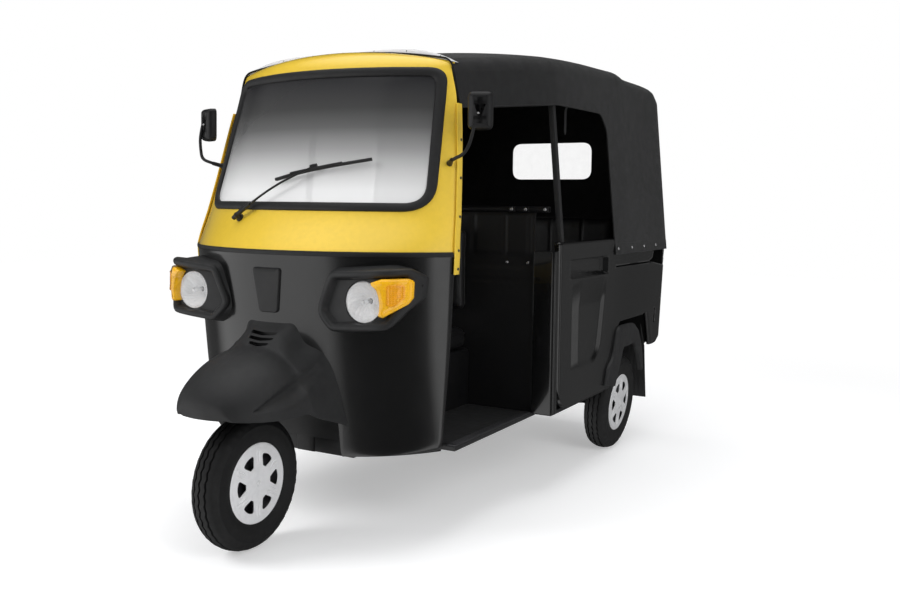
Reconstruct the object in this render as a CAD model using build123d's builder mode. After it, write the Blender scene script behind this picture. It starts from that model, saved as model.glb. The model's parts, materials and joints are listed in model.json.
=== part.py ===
from build123d import *
from math import asin, cos, radians, sin, sqrt
import os

# Auto rickshaw.  Millimetres, +Z up, the front faces -Y, the vehicle's left side is +X.
# A station is the distance behind the front axle; at(station) turns it into Y.

# ---- driving dimensions ----------------------------------------------------------------
WHEELBASE = 2064
FRONT_REACH = 265            # front axle to the tip of the mudguard
TAIL_REACH = 641             # rear axle to the back of the canopy
BODY_WIDTH = 1400            # across the side panels
CAB_WIDTH = 1200             # across the door sills
REAR_TRACK = 1220            # between the rear wheel centres
REAR_CAMBER = 5              # degrees, tops of the rear wheels lean outward

TYRE_RADIUS = 240
TYRE_WIDTH = 115
RIM_RADIUS = 127             # bead seat of a 10-inch rim
COVER_RADIUS = 143
COVER_REACH = 55             # wheel centre plane to the face of the cover
TREAD_CROWN = 80             # radius of the tread across the tyre
AXLE_RADIUS = 15

FLOOR_TOP = 350
FLOOR_THICK = 15
COWL_TOP = 1048              # upper edge of the dark lower front
BELT_TOP = 1198              # windshield bottom edge
GLASS_TOP = 1728             # windshield top edge
PANEL_WALL = 25              # thickness of the front shell, its whole wall
SIDE_WALL = 20
PANEL_TOP = 1071             # top of the fixed side panel
PANEL_BOTTOM = 355
QUARTER_BOTTOM = 410
HEM = 1000                   # lower edge of the canopy at the back
HEM_LAP = 8                  # the canopy laps this far over the rear quarters
VALANCE = 1600               # lower edge of the canopy above the entries
CANOPY_WALL = 5
DECK_TOP = 675               # rear deck, under the passenger cushion
PLATE = 15                   # pressed decks, risers and bulkheads
LINER = 5                    # wheel well and flaps

DOOR_FRONT = 430             # station where the doorway begins
PILLAR = (1100, 1152)        # stations of the B-pillar
RISER_AHEAD = 290            # rear axle to the riser under the passenger cushion
QUARTER_AHEAD = 232          # rear axle to the front edge of the rear quarter

STEER_RAKE = 21.2            # degrees, steering axis from the vertical
STEER_TRAIL = 50             # steering axis meets the ground this far ahead of the axle
HANDLE_UP = 1110             # along the steering axis from the ground

FIT = 0.05                   # running clearance of a shaft, radial
SEAT = 0.3                   # gap between pieces that rest against each other
GAP = 6                      # gap around the engine flap

# ---- derived ---------------------------------------------------------------------------
FRONT_AXLE_Y = (FRONT_REACH - WHEELBASE - TAIL_REACH) / 2
FLOOR_BOTTOM = FLOOR_TOP - FLOOR_THICK
RAIL_TOP = FLOOR_BOTTOM - SEAT
RISER = WHEELBASE - RISER_AHEAD
QUARTER = WHEELBASE - QUARTER_AHEAD
QUARTER_TOP = HEM + HEM_LAP
TAIL = WHEELBASE + TAIL_REACH
HALF_BODY = BODY_WIDTH / 2
HALF_CAB = CAB_WIDTH / 2
CAMBER = radians(REAR_CAMBER)
REAR_AXLE_Z = (TYRE_RADIUS - TREAD_CROWN) * cos(CAMBER) + TREAD_CROWN
RAKE = radians(STEER_RAKE)
SIDES = {"left": 1, "right": -1}


def at(station):
    return station + FRONT_AXLE_Y


# Front shell: each level is a circular arc in plan, from door edge to door edge.
# columns: height, station of the centre, arc radius, half width
COWL_LEVELS = (
    (FLOOR_BOTTOM, 190, 760, HALF_CAB - 50),
    (700, 135, 745, HALF_CAB - 17),
    (COWL_TOP, 98, 753, HALF_CAB + 5),
)
SCREEN_LEVELS = (
    (COWL_TOP + SEAT, 98, 753, HALF_CAB + 5),
    (BELT_TOP, 207, 836, HALF_CAB - 15),
    (1600, 350, 835, HALF_CAB - 70),
    (GLASS_TOP, 398, 850, HALF_CAB - 104),
    (1772, 430, 850, HALF_CAB - 124),
    (1812, 505, 850, HALF_CAB - 144),
)
ROOF_EDGE = 555              # station where the canopy starts
ROOF_CROWN = 1814            # roof height at that station, centre
ROOF_CORNER = (500, 1752)    # half width and height of the roof corner there


def crescent(level, depth, wall):
    """Closed plan of the front shell at one level: arc, door edge, arc, door edge."""
    height, station, radius, half = level
    edge = at(station) + radius - sqrt(radius ** 2 - half ** 2)
    outer, inner = half - depth, half - depth - wall
    with BuildSketch(Plane.XY.offset(height)) as plan:
        with BuildLine():
            ThreePointArc((-outer, edge), (0, at(station) + depth), (outer, edge))
            Line((outer, edge), (inner, edge))
            ThreePointArc((inner, edge), (0, at(station) + depth + wall), (-inner, edge))
            Line((-inner, edge), (-outer, edge))
        make_face()
    return plan.sketch


def front_shell(levels, depth, wall):
    """Part of the front shell that starts `depth` under its outer face."""
    with BuildPart() as shell:
        loft([crescent(level, depth, wall) for level in levels], ruled=True)
    return shell.part


def front_block(levels, proud):
    """Everything behind the front shell's outer face, grown by `proud`, as a solid."""
    depth = 300
    with BuildPart() as core:
        plans = []
        for height, station, radius, half in levels:
            edge = at(station) + radius - sqrt(radius ** 2 - half ** 2)
            with BuildSketch(Plane.XY.offset(height)) as plan:
                with BuildLine():
                    ThreePointArc((-half - proud, edge), (0, at(station) - proud), (half + proud, edge))
                    Polyline((half + proud, edge), (half + proud, edge + depth),
                             (-half - proud, edge + depth), (-half - proud, edge))
                make_face()
            plans.append(plan.sketch)
        loft(plans, ruled=True)
    return core.part


def face_station(levels, x, z):
    """Station of the shell's outer face at a point of the front view, on its straight ruling."""
    heights = [level[0] for level in levels]
    step = max(i for i in range(len(heights) - 1) if heights[i] <= z)
    share = (z - heights[step]) / (heights[step + 1] - heights[step])

    def ruling(turn):
        ends = []
        for _, centre, radius, half in levels[step:step + 2]:
            angle = turn * asin(half / radius)
            ends.append((radius * sin(angle), centre + radius - radius * cos(angle)))
        return tuple(a + share * (b - a) for a, b in zip(*ends))

    low, high = -1.0, 1.0
    for _ in range(40):
        middle = (low + high) / 2
        low, high = (middle, high) if ruling(middle)[0] < x else (low, middle)
    return ruling(low)[1]


def off_face(levels, x, z, proud):
    """Point (x, station, z) that stands `proud` off the shell's face, square to it."""
    station = face_station(levels, x, z)
    step = 1.0
    slope_x = (face_station(levels, x + step, z) - face_station(levels, x - step, z)) / (2 * step)
    slope_z = (face_station(levels, x, z + step) - face_station(levels, x, z - step)) / (2 * step)
    length = sqrt(slope_x ** 2 + 1 + slope_z ** 2)
    return (x + proud * slope_x / length, station - proud / length, z + proud * slope_z / length)


def front_view(outline, start, stop):
    """Prism of a front-view outline (a sketch in x and z) between two stations."""
    with BuildPart() as prism:
        with BuildSketch(Plane.XZ.offset(-at(start))):
            add(outline)
        extrude(amount=-(stop - start))
    return prism.part


def side_view(points, x_from, x_to):
    """Prism of a side-view outline (station, z) between two values of x."""
    with BuildPart() as prism:
        with BuildSketch(Plane.YZ.offset(min(x_from, x_to))):
            with BuildLine():
                Polyline([(at(station), z) for station, z in points], close=True)
            make_face()
        extrude(amount=abs(x_to - x_from))
    return prism.part


def block(x_span, stations, heights):
    """Box from its spans in x, station and height."""
    (x0, x1), (s0, s1), (z0, z1) = x_span, stations, heights
    with BuildPart() as box:
        with Locations(((x0 + x1) / 2, at((s0 + s1) / 2), (z0 + z1) / 2)):
            Box(abs(x1 - x0), s1 - s0, z1 - z0)
    return box.part


def rod(start, end, radius):
    """Round bar between two points given as (x, station, z)."""
    a = Vector(start[0], at(start[1]), start[2])
    b = Vector(end[0], at(end[1]), end[2])
    with BuildPart() as bar:
        with BuildSketch(Plane(origin=a, z_dir=b - a)):
            Circle(radius)
        extrude(amount=(b - a).length)
    return bar.part


def save(piece, label):
    piece.part.label = label
    export_step(piece.part, f"parts/{label}.step")


os.makedirs("parts", exist_ok=True)

# ---- wheels ----------------------------------------------------------------------------
# columns: name, x of the centre, station, height, camber (radians), side the cover faces
WHEELS = (
    ("front", 0, 0, TYRE_RADIUS, 0, 1),
    ("rear_left", REAR_TRACK / 2, WHEELBASE, REAR_AXLE_Z, CAMBER, 1),
    ("rear_right", -REAR_TRACK / 2, WHEELBASE, REAR_AXLE_Z, CAMBER, -1),
)
SHOULDER = (46, TYRE_RADIUS - TREAD_CROWN + sqrt(TREAD_CROWN ** 2 - 46 ** 2))
BEAD = (42, RIM_RADIUS + SEAT)
HUB_RADIUS = 70
HUB_INNER = -55              # inner end of the brake drum, from the centre plane


def wheel_plane(x, station, height, camber, side):
    """Section plane of a wheel: local x runs out along the axle, local y is radial."""
    axle = Vector(side * cos(camber), 0, -sin(camber))
    return Plane(origin=(x, at(station), height), x_dir=axle, z_dir=(0, -side, 0))


for name, x, station, height, camber, side in WHEELS:
    section = wheel_plane(x, station, height, camber, side)
    spin = Axis(section.origin, section.x_dir)
    with BuildPart() as tyre:
        with BuildSketch(section):
            with BuildLine():
                ThreePointArc((-SHOULDER[0], SHOULDER[1]), (0, TYRE_RADIUS), SHOULDER)
                ThreePointArc(SHOULDER, (TYRE_WIDTH / 2, (SHOULDER[1] + BEAD[1]) / 2 + 5), BEAD)
                Line(BEAD, (-BEAD[0], BEAD[1]))
                ThreePointArc((-BEAD[0], BEAD[1]), (-TYRE_WIDTH / 2, (SHOULDER[1] + BEAD[1]) / 2 + 5),
                              (-SHOULDER[0], SHOULDER[1]))
            make_face()
        revolve(axis=spin)
    save(tyre, f"{name}_tyre")
    with BuildPart() as rim:
        with BuildSketch(section):
            with BuildLine():
                Polyline((HUB_INNER, AXLE_RADIUS + FIT), (HUB_INNER, HUB_RADIUS), (-BEAD[0], RIM_RADIUS),
                         (BEAD[0], RIM_RADIUS), (COVER_REACH - 8, RIM_RADIUS), (COVER_REACH - 8, COVER_RADIUS - 12),
                         (COVER_REACH, COVER_RADIUS - 12), (COVER_REACH, 0), (30, 0), (30, AXLE_RADIUS + FIT),
                         close=True)
            make_face()
        revolve(axis=spin)
    save(rim, f"{name}_rim")

# ---- steering --------------------------------------------------------------------------
STEM_RADIUS = 19
HEAD_RADIUS = 32
HEAD_SPAN = (700, 850)       # along the steering axis from the ground
CROWN_SPAN = (540, 585)
FORK_X = (-145, -110)        # the leg runs on the vehicle's right of the wheel
LINK_X = (-110 + SEAT, -75)


def on_axis(along, x=0, ahead=0):
    """Point (x, station, z) on the steering axis, moved ahead square to it."""
    station = -STEER_TRAIL + along * sin(RAKE) - ahead * cos(RAKE)
    return (x, station, along * cos(RAKE) + ahead * sin(RAKE))


def axis_plane(along):
    """Plane square to the steering axis: local x is +X, local y points rearward."""
    point = on_axis(along)
    return Plane(origin=(0, at(point[1]), point[2]), x_dir=(1, 0, 0), z_dir=(0, sin(RAKE), cos(RAKE)))


PIVOT = (128, 300)           # station and height of the link's pivot
DAMPER = (272, 40, 16)       # foot along the steering axis, distance ahead of it, radius
with BuildPart() as front_fork:
    add(rod(on_axis(CROWN_SPAN[0]), on_axis(HANDLE_UP), STEM_RADIUS))
    with BuildSketch(axis_plane(CROWN_SPAN[0])):
        with BuildLine():
            Polyline((FORK_X[0], -80), (STEM_RADIUS + 10, -45), (STEM_RADIUS + 10, 28), (FORK_X[0], 28),
                     close=True)
        make_face()
    extrude(amount=CROWN_SPAN[1] - CROWN_SPAN[0])
    add(side_view(((PIVOT[0] - 25, PIVOT[1] - 25), (PIVOT[0] + 25, PIVOT[1] - 25), (165, 520), (110, 535)),
                  *FORK_X))
save(front_fork, "front_fork")

with BuildPart() as front_link:
    add(side_view(((-28, TYRE_RADIUS - 28), (20, TYRE_RADIUS - 32), (PIVOT[0] + 22, PIVOT[1] - 22),
                   (PIVOT[0] + 22, PIVOT[1] + 22), (30, TYRE_RADIUS + 38), (-28, TYRE_RADIUS + 28)), *LINK_X))
    add(rod((LINK_X[0] + 10, 0, TYRE_RADIUS), (30 - 2, 0, TYRE_RADIUS), AXLE_RADIUS))
    add(rod((LINK_X[0] + 10, 0, TYRE_RADIUS), (HUB_INNER - 1, 0, TYRE_RADIUS), AXLE_RADIUS + 12))
    damper_x = (LINK_X[0] + LINK_X[1]) / 2
    add(rod(on_axis(DAMPER[0], damper_x, DAMPER[1]), on_axis(CROWN_SPAN[0] - SEAT, damper_x, DAMPER[1]), DAMPER[2]))
save(front_link, "front_link")

BAR_HALF = 330
BAR_SWEEP = 120              # grips lie this far behind the stem
with BuildPart() as handlebar:
    add(rod(on_axis(HANDLE_UP + SEAT), on_axis(HANDLE_UP + 60), 34))
    for side in SIDES.values():
        inner = on_axis(HANDLE_UP + 30, x=side * 20)
        elbow = on_axis(HANDLE_UP + 40, x=side * (BAR_HALF - 130), ahead=-60)
        end = on_axis(HANDLE_UP + 40, x=side * BAR_HALF, ahead=-BAR_SWEEP)
        add(rod(inner, elbow, 13))
        add(rod(elbow, end, 17))
save(handlebar, "handlebar")

# ---- chassis ---------------------------------------------------------------------------
RAIL_X = (255, 305)
RAIL_BOTTOM = RAIL_TOP - 60
ARM_PIVOT = WHEELBASE - 340
ARM_X = (420, 490)
WELL_HALF = 235
WELL_BACK = 335
HEAD_BACK = WELL_BACK + 45
# columns: half length in x, station from, station to
CROSS_MEMBERS = (
    (560, PILLAR[0] - 20, PILLAR[0] + 40),
    (ARM_X[0] - SEAT, ARM_PIVOT - 30, ARM_PIVOT + 30),
    (RAIL_X[1], TAIL - 200, TAIL - 150),
)
TOW_BORE = 10.5              # radius of the tow pin holes in the end cross members
TOW_PINS = (WELL_BACK + 45, TAIL - 175)
with BuildPart() as chassis_frame:
    for side in SIDES.values():
        add(block((side * RAIL_X[0], side * RAIL_X[1]), (WELL_BACK + 5, TAIL - 120), (RAIL_BOTTOM, RAIL_TOP)))
    add(block((-RAIL_X[1], RAIL_X[1]), (WELL_BACK + 5, WELL_BACK + 65), (RAIL_BOTTOM, RAIL_TOP)))
    for half, start, stop in CROSS_MEMBERS:
        add(block((-half, half), (start, stop), (RAIL_BOTTOM, RAIL_TOP)))
    for station in TOW_PINS:
        add(block((-45, 45), (station - 42, station + 42), (RAIL_BOTTOM, RAIL_TOP)))
        add(rod((0, station, 0), (0, station, 400), TOW_BORE), mode=Mode.SUBTRACT)
save(chassis_frame, "chassis_frame")

# The head tube stands on the floor by an inclined neck behind the wheel well.
neck_low = on_axis(HEAD_SPAN[0] + 20)
neck_high = on_axis(HEAD_SPAN[1] - 20)
with BuildPart() as steering_head:
    add(side_view(((HEAD_BACK, FLOOR_TOP + SEAT), (HEAD_BACK + 70, FLOOR_TOP + SEAT),
                   (HEAD_BACK + 60, neck_high[2] - 60), (neck_high[1], neck_high[2]),
                   (neck_low[1], neck_low[2]), (HEAD_BACK, neck_low[2] - 30)), -30, 30))
    add(rod(on_axis(HEAD_SPAN[0]), on_axis(HEAD_SPAN[1]), HEAD_RADIUS))
    add(rod(on_axis(HEAD_SPAN[0] - 50), on_axis(HEAD_SPAN[1] + 50), STEM_RADIUS + FIT), mode=Mode.SUBTRACT)
save(steering_head, "steering_head")

# ---- rear suspension -------------------------------------------------------------------
CARRIER_RADIUS = 42
ARM_EYE = 28                 # half length of the arm's front end
ARM_KNEE = 60                # how far ahead of the axle the arm's top edge starts to rise
ARM_RISE = 45                # height of that knee over the axle


def on_axle(side, out):
    """Point (x, station, z) on a rear axle, `out` from the wheel's centre plane."""
    return (side * (REAR_TRACK / 2 + out * cos(CAMBER)), WHEELBASE, REAR_AXLE_Z - out * sin(CAMBER))


with BuildPart() as trailing_arms:
    for side in SIDES.values():
        add(side_view(((ARM_PIVOT - ARM_EYE, RAIL_BOTTOM), (WHEELBASE + 35, REAR_AXLE_Z - 35),
                       (WHEELBASE + 35, REAR_AXLE_Z + 35), (WHEELBASE - ARM_KNEE, REAR_AXLE_Z + ARM_RISE),
                       (ARM_PIVOT - ARM_EYE, RAIL_TOP)), side * ARM_X[0], side * ARM_X[1]))
        add(rod(on_axle(side, -170), on_axle(side, HUB_INNER - 1), CARRIER_RADIUS))
        add(rod(on_axle(side, -100), on_axle(side, 28), AXLE_RADIUS))
save(trailing_arms, "trailing_arms")

SHOCK = (455, WHEELBASE - 90, 26)  # x, station, radius
# The shock stands on the arm's top edge, which slopes up from the axle to the pivot.
SHOCK_FRONT = (SHOCK[1] - SHOCK[2] - (ARM_PIVOT - ARM_EYE)) / (WHEELBASE - ARM_KNEE - (ARM_PIVOT - ARM_EYE))
SHOCK_FOOT = RAIL_TOP + (REAR_AXLE_Z + ARM_RISE - RAIL_TOP) * SHOCK_FRONT + SEAT
with BuildPart() as rear_shocks:
    for side in SIDES.values():
        add(rod((side * SHOCK[0], SHOCK[1], SHOCK_FOOT), (side * SHOCK[0], SHOCK[1], DECK_TOP - PLATE - SEAT),
                SHOCK[2]))
save(rear_shocks, "rear_shocks")

ENGINE_X = RAIL_X[0] - SEAT
ENGINE = (WHEELBASE - 110, WHEELBASE + 330)
with BuildPart() as engine_block:
    add(block((-ENGINE_X, ENGINE_X), ENGINE, (RAIL_BOTTOM - 75, DECK_TOP - PLATE - 45)))
save(engine_block, "engine_block")

SHAFT_Z = REAR_AXLE_Z + 8
with BuildPart() as drive_shafts:
    for side in SIDES.values():
        add(rod((side * (ENGINE_X + SEAT), WHEELBASE, SHAFT_Z), (side * (ARM_X[0] - SEAT), WHEELBASE, SHAFT_Z), 16))
save(drive_shafts, "drive_shafts")

# ---- floor, risers and decks -----------------------------------------------------------
FLOOR_EDGE = HALF_BODY - 30 - SEAT
with BuildPart() as floor_pan:
    with BuildSketch(Plane.XY.offset(FLOOR_BOTTOM)):
        with BuildLine():
            ThreePointArc((-515, at(DOOR_FRONT)), (0, at(190 + PANEL_WALL + 1)), (515, at(DOOR_FRONT)))
            Polyline((515, at(DOOR_FRONT)), (HALF_CAB, at(DOOR_FRONT)), (HALF_CAB, at(PILLAR[1] + SEAT)),
                     (FLOOR_EDGE, at(PILLAR[1] + SEAT)), (FLOOR_EDGE, at(RISER + PLATE)),
                     (-FLOOR_EDGE, at(RISER + PLATE)), (-FLOOR_EDGE, at(PILLAR[1] + SEAT)),
                     (-HALF_CAB, at(PILLAR[1] + SEAT)), (-HALF_CAB, at(DOOR_FRONT)), (-515, at(DOOR_FRONT)))
        make_face()
    extrude(amount=FLOOR_THICK)
    add(block((-WELL_HALF - SEAT, WELL_HALF + SEAT), (0, WELL_BACK + SEAT), (0, 500)), mode=Mode.SUBTRACT)
save(floor_pan, "floor_pan")

TUB_X = 505                  # inner wall beside each rear wheel
QUARTER_IN = HALF_BODY - SIDE_WALL
with BuildPart() as rear_deck:
    add(block((-FLOOR_EDGE, FLOOR_EDGE), (RISER, QUARTER), (DECK_TOP - PLATE, DECK_TOP)))
    add(block((-QUARTER_IN + SEAT, QUARTER_IN - SEAT), (QUARTER, TAIL - 100), (DECK_TOP - PLATE, DECK_TOP)))
    add(block((-FLOOR_EDGE, FLOOR_EDGE), (RISER, RISER + PLATE), (FLOOR_TOP + SEAT, DECK_TOP - PLATE)))
    for side in SIDES.values():
        add(block((side * TUB_X, side * (TUB_X + 6)), (RISER + PLATE, TAIL - 110), (RAIL_TOP + 20, DECK_TOP - PLATE)))
save(rear_deck, "rear_deck")

with BuildPart() as wheel_well:
    profile = ((178, 648), (WELL_BACK, 510), (WELL_BACK, FLOOR_BOTTOM), (230, FLOOR_BOTTOM), (190, 560))
    inside = ((100, 716 - LINER), (WELL_BACK - LINER, 510 - LINER), (WELL_BACK - LINER, FLOOR_BOTTOM - 1),
              (100, FLOOR_BOTTOM - 1))
    add(side_view(profile, -WELL_HALF, WELL_HALF))
    add(side_view(inside, -WELL_HALF + LINER, WELL_HALF - LINER), mode=Mode.SUBTRACT)
    add(rod(on_axis(500), on_axis(800), STEM_RADIUS + 6), mode=Mode.SUBTRACT)
    add(front_block(COWL_LEVELS, -PANEL_WALL - SEAT), mode=Mode.INTERSECT)
save(wheel_well, "wheel_well")

# ---- front shell -----------------------------------------------------------------------
ARCH_HALF = WELL_HALF + 5
ARCH_TOP = 650
with BuildSketch() as arch_outline:
    with BuildLine():
        Polyline((-ARCH_HALF, 0), (-ARCH_HALF, 540), (-120, ARCH_TOP), (120, ARCH_TOP), (ARCH_HALF, 540),
                 (ARCH_HALF, 0), close=True)
    make_face()
with BuildPart() as front_cowl:
    add(front_shell(COWL_LEVELS, 0, PANEL_WALL))
    add(front_view(arch_outline.sketch, 0, 400), mode=Mode.SUBTRACT)
save(front_cowl, "front_cowl")

# Windshield opening, seen from the front: a rounded trapezoid.
SCREEN_HALF = (520, 484)     # half width at the bottom and at the top
SCREEN_CORNERS = (88, 64)    # corner radii, bottom and top
GASKET_BAND = 28


def screen_outline(inset):
    """Rounded trapezoid of the windshield, drawn in by `inset`."""
    low, high = BELT_TOP + 2 + inset, GLASS_TOP - 5 - inset
    with BuildSketch() as outline:
        with BuildLine():
            FilletPolyline((SCREEN_HALF[0] - inset, low), (SCREEN_HALF[1] - inset, high),
                           (-SCREEN_HALF[1] + inset, high), (-SCREEN_HALF[0] + inset, low), close=True,
                           radius=[SCREEN_CORNERS[0] - inset, SCREEN_CORNERS[1] - inset,
                                   SCREEN_CORNERS[1] - inset, SCREEN_CORNERS[0] - inset])
        make_face()
    return outline.sketch


with BuildSketch() as roof_silhouette:
    with BuildLine():
        Polyline((ROOF_CORNER[0], ROOF_CORNER[1]), (HALF_CAB + 60, 1000), (-HALF_CAB - 60, 1000),
                 (-ROOF_CORNER[0], ROOF_CORNER[1]))
        ThreePointArc((-ROOF_CORNER[0], ROOF_CORNER[1]), (0, ROOF_CROWN), ROOF_CORNER)
    make_face()
with BuildSketch() as roof_strip_outline:
    with BuildLine():
        ThreePointArc((-ROOF_CORNER[0] + 12, ROOF_CORNER[1] - 12), (0, ROOF_CROWN - CANOPY_WALL - 2),
                      (ROOF_CORNER[0] - 12, ROOF_CORNER[1] - 12))
        Line((ROOF_CORNER[0] - 12, ROOF_CORNER[1] - 12), (ROOF_CORNER[0] - 12, ROOF_CORNER[1] - 37))
        ThreePointArc((ROOF_CORNER[0] - 12, ROOF_CORNER[1] - 37), (0, ROOF_CROWN - CANOPY_WALL - 27),
                      (-ROOF_CORNER[0] + 12, ROOF_CORNER[1] - 37))
        Line((-ROOF_CORNER[0] + 12, ROOF_CORNER[1] - 37), (-ROOF_CORNER[0] + 12, ROOF_CORNER[1] - 12))
    make_face()
with BuildPart() as windshield_surround:
    add(front_shell(SCREEN_LEVELS, 0, PANEL_WALL))
    add(front_view(roof_silhouette.sketch, 0, 900), mode=Mode.INTERSECT)
    add(front_view(screen_outline(-SEAT), 0, 900), mode=Mode.SUBTRACT)
    add(front_view(roof_strip_outline.sketch, ROOF_EDGE - 40, ROOF_EDGE + 45))
save(windshield_surround, "windshield_surround")

with BuildPart() as windshield_gasket:
    add(front_shell(SCREEN_LEVELS[1:5], -4, PANEL_WALL + 4))
    add(front_view(screen_outline(0) - screen_outline(GASKET_BAND), 0, 900), mode=Mode.INTERSECT)
save(windshield_gasket, "windshield_gasket")

with BuildPart() as windshield_glass:
    add(front_shell(SCREEN_LEVELS[1:5], 6, 5))
    add(front_view(screen_outline(GASKET_BAND + SEAT), 0, 900), mode=Mode.INTERSECT)
save(windshield_glass, "windshield_glass")


# The wiper stands on the belt panel and lies just ahead of the glass.
WIPER_FOOT = (-222, 1163)
ARM_END = (90, 1348)
BLADE = ((-69, 1303), (60, 1332), (180, 1356), (301, 1378))
with BuildPart() as wiper:
    add(rod(off_face(SCREEN_LEVELS, *WIPER_FOOT, 0.6), off_face(SCREEN_LEVELS, *WIPER_FOOT, 30), 11))
    add(rod(off_face(SCREEN_LEVELS, *WIPER_FOOT, 24), off_face(SCREEN_LEVELS, *ARM_END, 24), 5))
    for start, end in zip(BLADE, BLADE[1:]):
        add(rod(off_face(SCREEN_LEVELS, *start, 16), off_face(SCREEN_LEVELS, *end, 16), 6))
    add(rod(off_face(SCREEN_LEVELS, *ARM_END, 12), off_face(SCREEN_LEVELS, *ARM_END, 28), 7))
save(wiper, "wiper")

MIRROR_FOOT = (541, 1372)
MIRROR_HEAD = (655, 460, 1556)
MIRROR_YAW = 22
MIRROR_SIZE = (104, 34, 134)
for name, side in SIDES.items():
    foot = off_face(SCREEN_LEVELS, side * MIRROR_FOOT[0], MIRROR_FOOT[1], 0.6)
    knee = off_face(SCREEN_LEVELS, side * MIRROR_FOOT[0], MIRROR_FOOT[1], 45)
    bend = (side * 640, 430, 1430)
    hold = (side * MIRROR_HEAD[0], MIRROR_HEAD[1] - 6, MIRROR_HEAD[2] - 20)
    with BuildPart() as mirror_piece:
        add(rod(foot, knee, 12))
        add(rod(knee, bend, 7))
        add(rod(bend, hold, 7))
        with BuildSketch(Plane(origin=(side * MIRROR_HEAD[0], at(MIRROR_HEAD[1]), MIRROR_HEAD[2]),
                               x_dir=(cos(radians(MIRROR_YAW)), side * sin(radians(MIRROR_YAW)), 0),
                               z_dir=(-side * sin(radians(MIRROR_YAW)), cos(radians(MIRROR_YAW)), 0))):
            RectangleRounded(MIRROR_SIZE[0], MIRROR_SIZE[2], 22)
        extrude(amount=MIRROR_SIZE[1] / 2, both=True)
    save(mirror_piece, f"mirror_{name}")

# ---- lamps -----------------------------------------------------------------------------
LAMP = (389, 886, 72)        # x, height, radius
LAMP_FACE = 135              # station of the lens
LAMP_BACK = 178
POD_FRONT = 118
# Front view of the left pod, x and height.
POD_OUTLINE = ((194, 842), (262, 990), (560, 1018), (582, 976), (576, 905), (500, 792), (268, 776))
POD_RADII = [40, 40, 22, 20, 40, 40, 30]
# Plan of the left pod, x and station: its outer end falls back around the corner.
POD_PLAN = ((170, POD_FRONT + 30), (240, POD_FRONT), (470, POD_FRONT + 4), (535, 165), (572, 235), (578, 300),
            (550, 350), (170, 350))
AMBER = ((470, 560), (848, 978))  # x span and heights of the indicator


def pod_solid(side, shrink):
    """Lamp pod with its cowl side cut to the cowl's face."""
    with BuildSketch() as face:
        with BuildLine():
            FilletPolyline([(side * x, z) for x, z in POD_OUTLINE], radius=POD_RADII, close=True)
        make_face()
        if shrink:
            offset(amount=-shrink)
    with BuildSketch(Plane.XY.offset(600)) as plan:
        with BuildLine():
            Polyline([(side * x, at(station + shrink)) for x, station in POD_PLAN], close=True)
        make_face()
    with BuildPart() as pod:
        add(front_view(face.sketch, 0, 480))
        extrude(plan.sketch, amount=500, mode=Mode.INTERSECT)
        add(front_block(COWL_LEVELS, SEAT), mode=Mode.SUBTRACT)
    return pod.part


with BuildPart() as headlamp_pods:
    for side in SIDES.values():
        add(pod_solid(side, 0))
        add(rod((side * LAMP[0], 0, LAMP[1]), (side * LAMP[0], LAMP_BACK + SEAT, LAMP[1]), LAMP[2] + SEAT),
            mode=Mode.SUBTRACT)
        add(block((side * (AMBER[0][0] - SEAT), side * 640), (0, 215), (AMBER[1][0] - SEAT, AMBER[1][1] + SEAT)),
            mode=Mode.SUBTRACT)
save(headlamp_pods, "headlamp_pods")

with BuildPart() as headlamps:
    for side in SIDES.values():
        add(rod((side * LAMP[0], LAMP_FACE, LAMP[1]), (side * LAMP[0], LAMP_BACK, LAMP[1]), LAMP[2]))
save(headlamps, "headlamps")

with BuildPart() as indicators:
    for side in SIDES.values():
        add(pod_solid(side, 3))
    with BuildPart(mode=Mode.PRIVATE) as amber_zone:
        for side in SIDES.values():
            add(block((side * AMBER[0][0], side * 640), (0, 215 - SEAT), AMBER[1]))
    add(amber_zone.part, mode=Mode.INTERSECT)
    for side in SIDES.values():
        add(rod((side * LAMP[0], 0, LAMP[1]), (side * LAMP[0], 400, LAMP[1]), LAMP[2] + 2 * SEAT), mode=Mode.SUBTRACT)
save(indicators, "indicators")

# ---- front mudguard --------------------------------------------------------------------
# columns: station, half width, lip height, crown height
HOOD = (
    (-FRONT_REACH, 100, 502, 545),
    (50 - FRONT_REACH, 163, 499, 630),
    (-85, 222, 494, 700),
    (50, 250, 480, 762),
    (230, 285, 436, 800),
)
HOOD_WALL = 12


def hood_solid(inset, drop):
    """Mudguard as a solid, drawn in by `inset` with its bottom lowered by `drop`."""
    with BuildPart() as hood:
        arches = []
        for station, half, lip, crown in HOOD:
            with BuildSketch(Plane.XZ.offset(-at(station + (inset if station < -FRONT_REACH + 1 else 0)))) as arch:
                with BuildLine():
                    ThreePointArc((-half + inset, lip), (0, crown - inset), (half - inset, lip))
                    Polyline((half - inset, lip), (half - inset, lip - drop), (-half + inset, lip - drop),
                             (-half + inset, lip))
                make_face()
            arches.append(arch.sketch)
        loft(arches, ruled=True)
    return hood.part


with BuildPart() as front_mudguard:
    add(hood_solid(0, 1))
    add(hood_solid(HOOD_WALL, 40), mode=Mode.SUBTRACT)
    add(front_block(COWL_LEVELS, SEAT), mode=Mode.SUBTRACT)
save(front_mudguard, "front_mudguard")

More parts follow.
